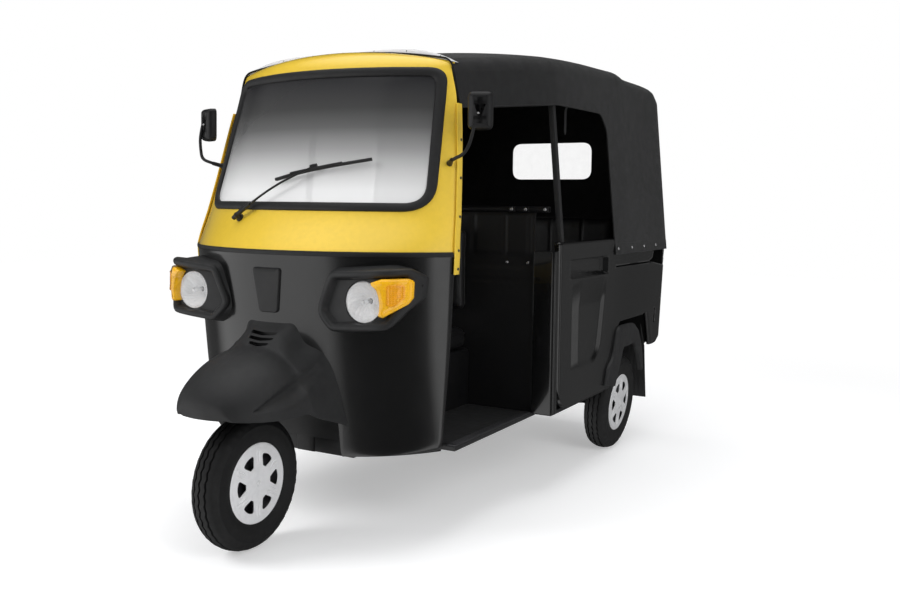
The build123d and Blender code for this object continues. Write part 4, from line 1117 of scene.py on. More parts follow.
@dataclass
class Windshield:
    """Yellow upper front with its glass, gasket, wiper, roof strip and edge flanges."""

    wall: float = 0.022
    band: float = 0.028
    corner_low: float = 0.088
    corner_high: float = 0.064
    half_low: float = 0.52
    half_high: float = 0.484

    def outline(self, depth: float) -> list[Flat]:
        """Rounded trapezoid of the opening, drawn in by a depth."""
        low, high = BELT_TOP + 0.002 + depth, GLASS_TOP - 0.005 - depth
        bottom, top = self.half_low - depth, self.half_high - depth
        corners = ((bottom, low), (top, high), (-top, high), (-bottom, low))
        radii = [self.corner_low - depth, self.corner_high - depth, self.corner_high - depth,
                 self.corner_low - depth]
        return dense(rounded(corners, radii, 10), 0.06)

    def skin(self, u: float, v: float) -> Vector:
        """Point of the yellow skin: up the face, then over the roof's edge."""
        share, rise = 2 * u - 1, 0.8
        if v <= rise:
            return SCREEN.ring(share, COWL_TOP + 0.002 + (GLASS_TOP - COWL_TOP - 0.002) * v / rise)
        low = SCREEN.ring(share, GLASS_TOP)
        high = spot(0.502 * share, 0.572, 1.752 + 0.06 * (1 - share ** 2))
        knee = Vector((low.x * 0.6 + high.x * 0.4, low.y + (high.z - low.z) * 0.35, high.z))
        t = (v - rise) / (1 - rise)
        return low * (1 - t) ** 2 + knee * 2 * t * (1 - t) + high * t * t

    def surround(self) -> Piece:
        """Yellow panel with the windshield opening."""
        panel = thicken(surface("upper_front", 72, 60, self.skin), self.wall)
        carve(panel, prism("screen_cutter", self.outline(0.0), "y", 0.0, 0.9))
        return soften(panel, 0.0035, 3, 45)

    def tab(self) -> Piece:
        """Narrow flange down the door edge, with its two screws on a separate piece."""
        def place(u: float, v: float) -> Vector:
            """Point of the flange on the door edge."""
            z = 0.975 + v * 0.62
            face = COWL if z < COWL_TOP else SCREEN
            edge = face.ring(1.0, z)
            return edge + Vector((0.003, 0.038 * u - 0.01, 0.0))

        flange = surface("door_flange", 4, 40, place)
        return soften(thicken(flange, 0.004, 1.0), 0.0015)

    def flange_screws(self) -> Piece:
        """Screws on both door flanges."""
        places = []
        for z in (0.995, 1.06, 1.18, 1.32, 1.46):
            face = COWL if z < COWL_TOP else SCREEN
            edge = face.ring(1.0, z) + Vector((0.008, 0.015, 0))
            places += [(edge, (1, 0, 0)), (Vector((-edge.x, edge.y, edge.z)), (-1, 0, 0))]
        return studs("flange_screws", places, 0.0055, 0.003)

    def gasket(self) -> Piece:
        """Rubber frame of the glass, rounded in section."""
        section = ((-0.004, -0.004), (-0.005, 0.003), (0.0, 0.0075), (0.007, 0.009), (0.014, 0.0085),
                   (0.02, 0.0065), (0.0255, 0.003), (0.028, -0.004), (0.024, -0.01), (0.0, -0.01),
                   (-0.004, -0.004))
        loops = [[SCREEN.point(x, z, proud) for x, z in self.outline(depth)] for depth, proud in section]
        return smooth(loft("screen_gasket", loops, caps=False), 60)

    def glass(self) -> Piece:
        """Curved glass inside the gasket."""
        edge = self.outline(self.band - 0.006)
        loops = [[SCREEN.point(x, z, -0.004) for x, z in shrink(edge, 1 - k / 14)] for k in range(15)]
        pane = loft("screen_glass", loops, caps=False)
        return smooth(thicken(pane, 0.005), 60)

    def strip(self) -> Piece:
        """Bright strip over the roof's front edge."""
        def place(u: float, v: float) -> Vector:
            """Point of the strip."""
            share = 2 * u - 1
            ahead, lift = profile[round(v * (len(profile) - 1))]
            foot, crown = self.strip_edges(share)
            return spot(0.505 * share, 0.561 + ahead, foot + (crown - foot) * lift)

        profile = ((0.0, 0.0), (0.0015, 0.5), (0.0045, 0.86), (0.01, 1.0), (0.022, 1.0), (0.034, 0.94))
        return soften(thicken(surface("roof_strip", 72, 5, place), 0.002), 0.0006)

    @staticmethod
    def strip_edges(share: float) -> tuple[float, float]:
        """Height of the roof strip's foot and of its crown at a share of its half width."""
        return 1.7515 + 0.0605 * (1 - share ** 2), 1.8175 - 0.065 * abs(share) ** 4.5

    def strip_rivets(self) -> Piece:
        """Rivets along the roof strip."""
        places = []
        for share in (k * 0.2935 for k in range(-3, 4)):
            foot, crown = self.strip_edges(share)
            places.append((spot(0.505 * share, 0.5645, foot + (crown - foot) * 0.66),
                           (0.12 * share, -0.9, 0.4)))
        return studs("strip_rivets", places, 0.0032, 0.0016)

    def wiper_arm(self) -> Piece:
        """Arm with its spring housing and pivot cap."""
        foot, end = (-0.222, 1.163), (0.09, 1.348)

        def off(share: float, proud: float) -> Solid:
            """Point along the arm, off the face."""
            x, z = foot[0] + (end[0] - foot[0]) * share, foot[1] + (end[1] - foot[1]) * share
            return stationed([SCREEN.point(x, z + 0.012 * math.sin(math.pi * share), proud)])[0]

        arm = tube("wiper_arm", [off(0.0, 0.02), off(0.2, 0.026), off(0.5, 0.028), off(0.8, 0.026),
                                 off(1.0, 0.02)], 0.0042)
        housing = tube("wiper_housing", [off(-0.05, 0.018), off(0.05, 0.024), off(0.2, 0.027)], 0.009)
        base = SCREEN.point(*foot)
        cap = [(0.0, 0.03), (0.007, 0.0295), (0.011, 0.026), (0.012, 0.01), (0.015, 0.008), (0.016, -0.003)]
        pivot = lathe("wiper_pivot", cap, aim(base, SCREEN.normal(*foot)), 24)
        clip = SCREEN.point(0.09, 1.352, 0.016)
        saddle = lathe("wiper_saddle", [(0.0, -0.014), (0.008, -0.013), (0.009, 0.0), (0.008, 0.013),
                                        (0.0, 0.014)], aim(clip, (0.9, 0.25, 0.2)), 16)
        return join("wiper_arm", [arm, housing, smooth(pivot, 40), smooth(saddle, 40)])

    def wiper_blade(self) -> Piece:
        """Blade: a rubber squeegee in its sprung carrier."""
        path = ((-0.069, 1.303), (0.0, 1.321), (0.09, 1.34), (0.2, 1.36), (0.301, 1.378))

        def line(proud: float, lift: float) -> list[Solid]:
            """Points along the blade, off the face."""
            return stationed([SCREEN.point(x, z + lift, proud) for x, z in path])

        carrier = tube("blade_carrier", line(0.0155, 0.001), 0.0058)
        backbone = tube("blade_back", line(0.0215, 0.003)[1:4], 0.0046)
        rubber = tube("blade_rubber", line(0.0085, 0.0), 0.0032)
        return join("wiper_blade", [carrier, backbone, rubber])

    def build(self) -> None:
        """Makes and publishes the pieces of the upper front."""
        publish(self.surround(), Coat.YELLOW, replaces=["windshield_surround"])
        publish(both(self.tab(), "door_flanges"), Coat.YELLOW)
        publish(self.flange_screws(), Coat.STEEL)
        publish(self.gasket(), Coat.RUBBER, replaces=["windshield_gasket"])
        publish(self.glass(), Coat.SCREEN, replaces=["windshield_glass"])
        publish(self.strip(), Coat.TRIM)
        publish(self.strip_rivets(), Coat.STEEL)
        publish(self.wiper_arm(), Coat.BLACK, replaces=["wiper"])
        publish(self.wiper_blade(), Coat.RUBBER)


@dataclass
class Mirrors:
    """Door mirrors on bent stalks."""

    foot: Flat = (0.541, 1.372)
    head: Solid = (0.668, 0.46, 1.556)
    reach: float = 0.655
    size: Solid = (0.09, 0.036, 0.136)
    yaw: float = 22.0

    def stalk(self) -> Piece:
        """Bent bar with its mount on the door edge."""
        base = SCREEN.point(*self.foot)
        out = SCREEN.normal(*self.foot)
        start = base + out * 0.002
        knee = base + out * 0.05
        points = stationed((start, knee))
        points += [(self.reach + x, s, z) for x, s, z in ((-0.033, 0.428, 1.4), (-0.015, 0.438, 1.44),
                                                          (-0.003, 0.446, 1.5), (0.0, 0.448, 1.552))]
        points[-1] = ((self.reach + self.head[0]) / 2, 0.449, 1.552)
        bar = tube("mirror_stalk", points, 0.0065)
        cup = [(0.0, 0.046), (0.007, 0.045), (0.008, 0.04), (0.0085, 0.012), (0.011, 0.006), (0.012, -0.004)]
        return join("mirror_stalk", [bar, turned("mirror_mount", cup, aim(base, out), 24)])

    def loops(self, depths: Sequence[tuple[float, float]]) -> list[list[Vector]]:
        """Rounded frames of the head, each drawn in by a depth at a place along its thickness."""
        width, _, height = self.size
        turn = Matrix.Rotation(math.radians(self.yaw), 4, "Z")
        corners = ((-width / 2, -height / 2), (width / 2, -height / 2), (width / 2, height / 2),
                   (-width / 2, height / 2))
        outline = rounded(corners, [0.022] * 4)
        centre = spot(*self.head)
        return [[centre + turn @ Vector((x, y, z)) for x, z in inset(outline, depth)] for depth, y in depths]

    def shell(self) -> Piece:
        """Moulded back of the head."""
        half = self.size[1] / 2
        loops = self.loops(((0.004, half - 0.003), (0.0, half), (0.0, half - 0.004), (0.001, 0.0),
                            (0.004, -half * 0.5), (0.01, -half * 0.85), (0.02, -half), (0.035, -half - 0.001),
                            (0.048, -half - 0.001)))
        return smooth(loft("mirror_shell", loops), 40)

    def pane(self) -> Piece:
        """Mirror glass, which faces the driver."""
        half = self.size[1] / 2
        return smooth(loft("mirror_pane", self.loops(((0.006, half - 0.004), (0.006, half - 0.0015),
                                                      (0.007, half - 0.001)))), 30)

    def joint(self) -> Piece:
        """Bright ball screw that holds the head on its stalk."""
        return studs("mirror_screw", [(spot(self.head[0] + 0.004, 0.4385, 1.545), (0.35, -1, 0))], 0.0045,
                     0.005)

    def build(self) -> None:
        """Makes and publishes both mirrors."""
        for side, node in (("left", "mirror_left"), ("right", "mirror_right")):
            if side == "right":
                self.head, self.reach = (0.614, 0.46, 1.545), 0.65
            parts = [(self.stalk(), Coat.BLACK, []), (self.shell(), Coat.BLACK, [node]),
                     (self.pane(), Coat.CHROME, []), (self.joint(), Coat.BRIGHT, [])]
            for piece, coat, nodes in parts:
                name = f"{piece.name.split('.')[0]}_{side}"
                if side == "right":
                    twin = mirrored(piece, name)
                    bpy.data.objects.remove(piece, do_unlink=True)
                    piece = twin
                piece.name = piece.data.name = name
                publish(piece, coat, replaces=nodes)


# ---- running gear ----------------------------------------------------------------------
def bar(name: str, start: Vector, end: Vector, radius: float, chamfer: float = 0.002,
        steps: int = 28) -> Piece:
    """Straight round bar with chamfered ends."""
    run = end - start
    length = run.length
    profile = [(0.0, 0.0), (radius - chamfer, 0.0), (radius, chamfer), (radius, length - chamfer),
               (radius - chamfer, length), (0.0, length)]
    return turned(name, profile, aim(start, run), steps)


def coil(name: str, start: Vector, end: Vector, radius: float, wire: float, turns: float) -> Piece:
    """Coil spring between two points."""
    frame = aim(start, end - start)
    length = (end - start).length
    count = int(turns * 10)
    points = []
    for k in range(count + 1):
        angle = 2 * math.pi * turns * k / count
        points.append(frame @ Vector((length * k / count, radius * math.cos(angle),
                                      radius * math.sin(angle))))
    return tube(name, stationed(points), wire, 2)


def copied(piece: Piece, name: str, frame: Matrix) -> Piece:
    """Copy of a piece, with its own mesh moved by a frame."""
    twin = piece.copy()
    twin.data = piece.data.copy()
    twin.name = twin.data.name = name
    bpy.context.scene.collection.objects.link(twin)
    twin.data.transform(frame)
    return twin


@dataclass
class Wheels:
    """Three wheels: grooved tyres, steel rims with their drums, and six-spoke covers."""

    radius: float = TYRE_RADIUS
    crown: float = 0.08
    camber: float = 5.0
    track: float = 1.22
    rear_height: float = 0.2394
    steps: int = 160
    wave: float = 0.003
    groove: Flat = (0.0027, 0.0075)
    groove_places: Solid = (-0.0235, 0.0, 0.0235)
    cover_radius: float = 0.1427
    spokes: int = 6

    def tread(self, reach: float) -> float:
        """Radius of the tread at a reach from the centre plane."""
        return self.radius - self.crown + math.sqrt(self.crown ** 2 - reach ** 2)

    def profile(self) -> list[Flat]:
        """Half-turned section of the tyre, from one bead over the tread to the other and back inside."""
        side = [(0.1275, 0.04), (0.133, 0.044), (0.14, 0.0468), (0.142, 0.0485), (0.145, 0.0485),
                (0.15, 0.0505), (0.168, 0.0553), (0.185, 0.0572), (0.199, 0.0566), (0.201, 0.0572),
                (0.204, 0.057), (0.206, 0.0556), (0.215, 0.0525), (0.2205, 0.05), (0.2252, 0.0462)]
        half, deep = self.groove
        marks = [-0.044, -0.0385, -0.031]
        for place in self.groove_places:
            marks += [place - half - 0.001, place - half, place + half, place + half + 0.001]
            marks += [place + 0.0075, place + 0.016] if place < 0.02 else []
        marks += [0.031, 0.0385, 0.044]
        top = []
        for mark in marks:
            in_groove = any(abs(abs(mark - place) - half) < 1e-9 for place in self.groove_places)
            top.append((self.tread(mark) - (deep if in_groove else 0.0), mark))
        return ([(r, -a) for r, a in side] + top + [(r, a) for r, a in reversed(side)]
                + [(0.1275, 0.0), (0.1275, -0.04)])

    def wavy(self, radius: float, reach: float, angle: float) -> tuple[float, float]:
        """Waves the grooves and notches the shoulders."""
        step = round(angle / (2 * math.pi) * self.steps)
        if radius > 0.218 and abs(reach) < 0.034:
            reach += self.wave * (0, 1, 0, -1)[step % 4] * (1 - (reach / 0.034) ** 4)
        elif radius > 0.214 and 0.045 < abs(reach) < 0.053 and step % 4 in (0, 1):
            radius -= 0.0028
        return radius, reach

    def tyre(self) -> Piece:
        """Tyre at the origin, with its axle along X."""
        return smooth(lathe("tyre", self.profile(), Matrix.Identity(4), self.steps, self.wavy), 38)

    def grooved(self, radius: float, reach: float, angle: float) -> tuple[float, float]:
        """Sinks a pair of short grooves into each spoke and a shallow dish between them."""
        turn = 2 * math.pi / self.spokes
        off = (angle - turn / 2) % turn
        off = min(off, turn - off)
        across, along = radius * math.sin(off), radius * math.cos(off)
        if radius < 0.06 or along > 0.118 or along < 0.07:
            return radius, reach
        ends = min(1.0, (along - 0.07) / 0.01, (0.118 - along) / 0.006)
        dip = max(0.0, 1 - (abs(across - 0.007) / 0.0034) ** 2) * max(0.0, ends)
        return radius, reach - 0.0032 * dip

    def cover(self) -> Piece:
        """Pressed cover with six windows."""
        rows = [(0.1405, 0.04), (self.cover_radius, 0.043), (self.cover_radius, 0.0475), (0.141, 0.05),
                (0.138, 0.0508), (0.133, 0.0512), (0.129, 0.0504), (0.125, 0.0508)]
        rows += [(0.12 - 0.003 * k, 0.0512 + 0.003 * (k / 35) ** 0.8) for k in range(36)]
        rows += [(0.012, 0.0545), (0.01, 0.0538), (0.0088, 0.052), (0.0075, 0.052), (0.0068, 0.054),
                 (0.0045, 0.0546), (0.0, 0.0548)]
        disc = thicken(lathe("wheel_cover", rows, Matrix.Identity(4), 360, self.grooved), 0.0022)
        corners = ((0.063, -0.0085), (0.101, -0.033), (0.1085, 0.0), (0.101, 0.033), (0.063, 0.0085))
        outline = rounded(corners, (0.006, 0.011, 0.05, 0.011, 0.006), 5)
        cutters = []
        for k in range(self.spokes):
            turn = Matrix.Rotation(2 * math.pi * k / self.spokes, 4, "X")
            loops = [[turn @ Vector((reach, y, z)) for y, z in outline] for reach in (0.03, 0.07)]
            cutters.append(loft(f"window_cutter_{k}", loops))
        carve(disc, join("window_cutter", cutters))
        return soften(disc, 0.0011, 2, 55)

    def rim(self) -> Piece:
        """Steel rim with its disc, seen through the cover's windows."""
        section = [(0.127, -0.0435), (0.127, -0.04), (0.118, -0.036), (0.112, -0.02), (0.112, 0.012),
                   (0.118, 0.024), (0.127, 0.036), (0.127, 0.0395), (0.124, 0.04), (0.121, 0.038),
                   (0.114, 0.026), (0.108, 0.014), (0.1, 0.006), (0.085, 0.012), (0.06, 0.02),
                   (0.045, 0.0225), (0.029, 0.0225), (0.028, 0.03), (0.02, 0.032), (0.0, 0.032)]
        back = [(0.0, 0.018), (0.045, 0.018), (0.06, 0.015), (0.085, 0.008), (0.1, 0.001),
                (0.1075, -0.005), (0.1075, -0.022), (0.114, -0.038), (0.124, -0.0435), (0.127, -0.0435)]
        rim = turned("rim", section + back, Matrix.Identity(4), 72)
        nuts = []
        for k in range(5):
            angle = 2 * math.pi * k / 5
            nuts.append((Vector((0.0225, 0.045 * math.cos(angle), 0.045 * math.sin(angle))), (1, 0, 0)))
        return join("rim", [rim, studs("nuts", nuts, 0.009, 0.009)])

    def drum(self) -> Piece:
        """Finned brake drum on the inner side."""
        rows = [(0.0, -0.002), (0.085, -0.002), (0.09, -0.006)]
        for k in range(4):
            rows += [(0.093, -0.008 - 0.008 * k), (0.093, -0.0115 - 0.008 * k), (0.088, -0.012 - 0.008 * k),
                     (0.088, -0.0155 - 0.008 * k)]
        rows += [(0.086, -0.044), (0.066, -0.05), (0.06, -0.0545), (0.0, -0.0545)]
        return smooth(lathe("drum", rows, Matrix.Identity(4), 60))

    def build(self) -> None:
        """Makes each kind of piece once and copies it to the three wheels."""
        cos, sin = math.cos(math.radians(self.camber)), math.sin(math.radians(self.camber))
        wheels = (("front", (0.0, 0.0, self.radius), (1, 0, 0), "front_wheel"),
                  ("rear_left", (self.track / 2, WHEELBASE, self.rear_height), (cos, 0, -sin),
                   "rear_left_wheel"),
                  ("rear_right", (-self.track / 2, WHEELBASE, self.rear_height), (-cos, 0, -sin),
                   "rear_right_wheel"))
        kinds = ((self.tyre(), Coat.TYRE, "tyre"), (self.cover(), Coat.SILVER, "rim"),
                 (self.rim(), Coat.STEEL, ""), (self.drum(), Coat.IRON, ""))
        for piece, coat, node in kinds:
            kind = piece.name
            for name, place, axis, body in wheels:
                twin = copied(piece, f"{name}_{kind}_piece", aim(spot(*place), axis))
                publish(twin, coat, body, [f"{name}_{node}"] if node else [])
            bpy.data.objects.remove(piece, do_unlink=True)


@dataclass
class Steering:
    """One-sided front fork with its link, spring and damper, and the handlebar."""

    rake: float = math.radians(21.2)
    trail: float = 0.05
    handle_up: float = 1.11
    stem_radius: float = 0.019
    leg: Flat = (-0.145, -0.11)
    link_span: Flat = (-0.1095, -0.075)
    damper: Flat = (0.272, 0.04)
    elbow: Flat = (0.2, 0.06)
    end: Flat = (0.33, 0.12)

    def axis(self, along: float, x: float = 0.0, ahead: float = 0.0) -> Vector:
        """Point on the steering axis, moved ahead square to it."""
        station = -self.trail + along * math.sin(self.rake) - ahead * math.cos(self.rake)
        return spot(x, station, along * math.cos(self.rake) + ahead * math.sin(self.rake))

    def fork(self) -> Piece:
        """Stem, crown and leg."""
        stem = bar("fork_stem", self.axis(0.541), self.axis(self.handle_up - 0.001), self.stem_radius)
        plan = rounded(((-0.145, 0.08), (0.029, 0.045), (0.029, -0.028), (-0.145, -0.028)), [0.02] * 4, 4)
        crown = loft("fork_crown", [[self.axis(up, x, ahead) for x, ahead in plan] for up in (0.54, 0.585)])
        side = rounded(((0.103, 0.275), (0.153, 0.275), (0.165, 0.52), (0.11, 0.535)),
                       [0.02, 0.02, 0.01, 0.01], 5)
        leg = prism("fork_leg", side, "x", *self.leg)
        return join("fork", [stem, soften(crown, 0.005, 3), soften(leg, 0.006, 3)])

    def link(self) -> Piece:
        """Leading link with its pivot and axle."""
        side = rounded(((-0.028, 0.212), (0.02, 0.208), (0.15, 0.278), (0.15, 0.322), (0.03, 0.278),
                        (-0.028, 0.268)), [0.022, 0.03, 0.02, 0.02, 0.03, 0.022], 5)
        arm = soften(prism("link_arm", side, "x", *self.link_span), 0.006, 3)
        axle = bar("link_axle", spot(-0.1095, 0.0, 0.24), spot(-0.0556, 0.0, 0.24), 0.0215)
        pin = bar("link_pin", spot(-0.1475, 0.128, 0.3), spot(-0.074, 0.128, 0.3), 0.013)
        return join("link", [arm, axle, pin])

    def spring(self) -> tuple[Piece, Piece]:
        """Damper body and its coil."""
        x = sum(self.link_span) / 2
        foot, ahead = self.damper
        low, high = self.axis(foot, x, ahead), self.axis(0.5395, x, ahead)
        lower = bar("damper_tube", low, low.lerp(high, 0.45), 0.0115)
        upper = bar("damper_rod", low.lerp(high, 0.4), high, 0.0065)
        seats = [bar(f"damper_seat_{k}", low.lerp(high, share), low.lerp(high, share + 0.02), 0.0185, 0.001)
                 for k, share in enumerate((0.16, 0.95))]
        body = join("damper", [lower, upper, *seats])
        return body, coil("fork_coil", low.lerp(high, 0.18), low.lerp(high, 0.95), 0.0145, 0.0028, 8.5)

    def bend(self, side: int) -> list[Vector]:
        """Elbow and end of the bar on one side."""
        return [self.axis(self.handle_up + 0.04, side * x, -back) for x, back in (self.elbow, self.end)]

    def bars(self) -> Piece:
        """Hub cowl and both bars."""
        hub = [(0.0, 0.0), (0.026, 0.0), (0.033, 0.006), (0.034, 0.03), (0.033, 0.052), (0.026, 0.0595),
               (0.0, 0.06)]
        pieces = [turned("handle_hub", hub, aim(self.axis(self.handle_up + 0.0005),
                                                self.axis(1.0) - self.axis(0.0)), 32)]
        for side in (-1, 1):
            inner = self.axis(self.handle_up + 0.03, side * 0.02)
            elbow, end = self.bend(side)
            points = stationed((inner, inner.lerp(elbow, 0.5), elbow, end))
            pieces.append(tube("handle_bar", points, 0.011, 4))
        return join("handle_bars", pieces)

    def grips(self) -> Piece:
        """Ribbed grips."""
        rows = [(0.0125, 0.0), (0.019, 0.001), (0.019, 0.006), (0.016, 0.009)]
        for k in range(10):
            rows += [(0.016, 0.012 + 0.0095 * k), (0.015, 0.014 + 0.0095 * k), (0.015, 0.018 + 0.0095 * k),
                     (0.016, 0.02 + 0.0095 * k)]
        rows += [(0.016, 0.112), (0.013, 0.116), (0.0, 0.117)]
        pieces = []
        for side in (-1, 1):
            elbow, end = self.bend(side)
            start = elbow.lerp(end, 0.22)
            pieces.append(turned("grip", rows, aim(start, end - start), 24))
        return join("handle_grips", pieces)

    def controls(self) -> Piece:
        """Lever and switch pod beside each grip."""
        pieces = []
        for side in (-1, 1):
            elbow, end = self.bend(side)
            run = (end - elbow).normalized()
            out = Vector((0, -1, 0)) - run * run.dot(Vector((0, -1, 0)))
            root, tip = elbow + run * 0.005 + out * 0.016, elbow + run * 0.118 + out * 0.036
            points = stationed((root, root + run * 0.02 + out * 0.022, tip))
            pieces.append(tube("lever", points, 0.0045))
            pod = [(0.0, 0.0), (0.019, 0.0), (0.023, 0.004), (0.023, 0.024), (0.019, 0.028), (0.0, 0.028)]
            pieces.append(turned("switch_pod", pod, aim(elbow - run * 0.004, run), 20))
        return join("handle_controls", pieces)

    def build(self) -> None:
        """Makes and publishes the steering pieces."""
        publish(self.fork(), Coat.FRAME, "steering", ["front_fork"])
        publish(self.link(), Coat.FRAME, "steering", ["front_link"])
        damper, spring = self.spring()
        publish(damper, Coat.STEEL, "steering")
        publish(spring, Coat.FRAME, "steering")
        publish(self.bars(), Coat.BLACK, "steering", ["handlebar"])
        publish(self.grips(), Coat.RUBBER, "steering")
        publish(self.controls(), Coat.FRAME, "steering")


@dataclass
class Suspension:
    """Rear shock absorbers with their coils."""

    x: float = 0.455
    station: float = 1.974
    low: float = 0.2945
    high: float = 0.6593

    def strut(self) -> Piece:
        """Damper with its eyes and spring seats."""
        def up(z: float) -> Vector:
            """Point on the strut's line."""
            return spot(self.x, self.station, z)

        pieces = [bar("strut_tube", up(self.low + 0.012), up(0.49), 0.0145),
                  bar("strut_rod", up(0.48), up(0.652), 0.007),
                  bar("strut_seat_low", up(0.345), up(0.352), 0.0255, 0.001),
                  bar("strut_seat_high", up(0.628), up(0.636), 0.0255, 0.001),
                  bar("strut_eye_low", up(self.low), up(self.low + 0.016), 0.0215, 0.003),
                  bar("strut_eye_high", up(0.6435), up(self.high), 0.0215, 0.003)]
        return join("strut", pieces)

    def build(self) -> None:
        """Makes and publishes both struts."""
        publish(both(self.strut(), "rear_struts"), Coat.BLACK, replaces=["rear_shocks"])
        low, high = spot(self.x, self.station, 0.353), spot(self.x, self.station, 0.628)
        publish(both(coil("strut_coil", low, high, 0.0208, 0.0044, 8.0), "rear_coils"), Coat.FRAME)


@dataclass
class Chassis:
    """Welded underframe: two long rails with raked ends, cross members and the two tow pin blocks."""

    top: float = 0.3343
    low: float = 0.2752
    rail: Flat = (0.2555, 0.3045)
    ends: Flat = (0.3405, 2.5845)
    # columns: half length, height of its end, station from, station to
    members: tuple[tuple[float, float, float, float], ...] = (
        (0.3045, 0.316, 0.3405, 0.3995), (0.5595, 0.321, 1.0805, 1.1395), (0.4192, 0.29, 1.6945, 1.7535),
        (0.3045, 0.29, 2.5055, 2.5545))
    tow_pins: Flat = (0.38, 2.53)
    bore: float = 0.0107

    def rails(self) -> list[Piece]:
        """Both long rails, raked up at the front."""
        start, stop = self.ends
        side = ((start, self.top), (stop, self.top), (stop, self.low + 0.025), (stop - 0.05, self.low),
                (start + 0.12, self.low), (start, self.top - 0.018))
        return [soften(prism("rail", side, "x", *sorted((turn * self.rail[0], turn * self.rail[1]))), 0.003)
                for turn in (-1, 1)]

    def cross(self) -> list[Piece]:
        """Cross members, tapered towards their ends."""
        made = []
        for half, end, start, stop in self.members:
            front = ((-half, self.top), (-half, end), (-half * 0.72, self.low), (half * 0.72, self.low),
                     (half, end), (half, self.top))
            made.append(soften(prism("cross_member", front, "y", start, stop), 0.003))
        return made

    def tow_blocks(self) -> list[Piece]:
        """Blocks with the bores of the tow pins."""
        made = []
        for station in self.tow_pins:
            plan = rounded([(x, station + s) for x, s in ((-0.0445, -0.0415), (0.0445, -0.0415),
                                                          (0.0445, 0.0415), (-0.0445, 0.0415))], [0.008] * 4,
                           4)
            block = prism("tow_block", plan, "z", self.low - 0.0004, self.top + 0.0002)
            turns = [2 * math.pi * k / 24 for k in range(24)]
            ring = [(self.bore * math.cos(turn), station + self.bore * math.sin(turn)) for turn in turns]
            made.append(soften(carve(block, prism("tow_bore", ring, "z", 0.2, 0.4)), 0.0012, 1))
        return made

    def build(self) -> None:
        """Makes and publishes the underframe."""
        publish(join("underframe", [*self.rails(), *self.cross(), *self.tow_blocks()]), Coat.FRAME,
                replaces=["chassis_frame"])


# ---- cab -------------------------------------------------------------------------------
def panel(name: str, place: Callable[[float, float], Vector], outline: Sequence[Flat], back: float,
          cells: tuple[int, int], edge: float = 0.0025) -> Piece:
    """Panel of the left side: a free outer face and a flat back, trimmed by an outline, with rounded edges.

    Args:
        name: name of the piece.
        place: gives a point of the outer face from two shares; their cross product looks outward.
        outline: side view that trims it.
        back: x of its flat back.
        cells: cells of the surface.
        edge: radius of its rounded edges.

    Returns:
        The panel.
    """
    made = thicken(surface(name, *cells, place), 0.001)
    vertices = made.data.vertices
    half = len(vertices) // 2
    for first, second in zip(vertices[:half], vertices[half:]):
        outer, inner = (first, second) if first.co.x > second.co.x else (second, first)
        inner.co = (back, outer.co.y, outer.co.z)
    carve(made, prism(name + "_trim", outline, "x", 0.55, 0.8), "INTERSECT")
    return soften(made, edge, 2, 50)


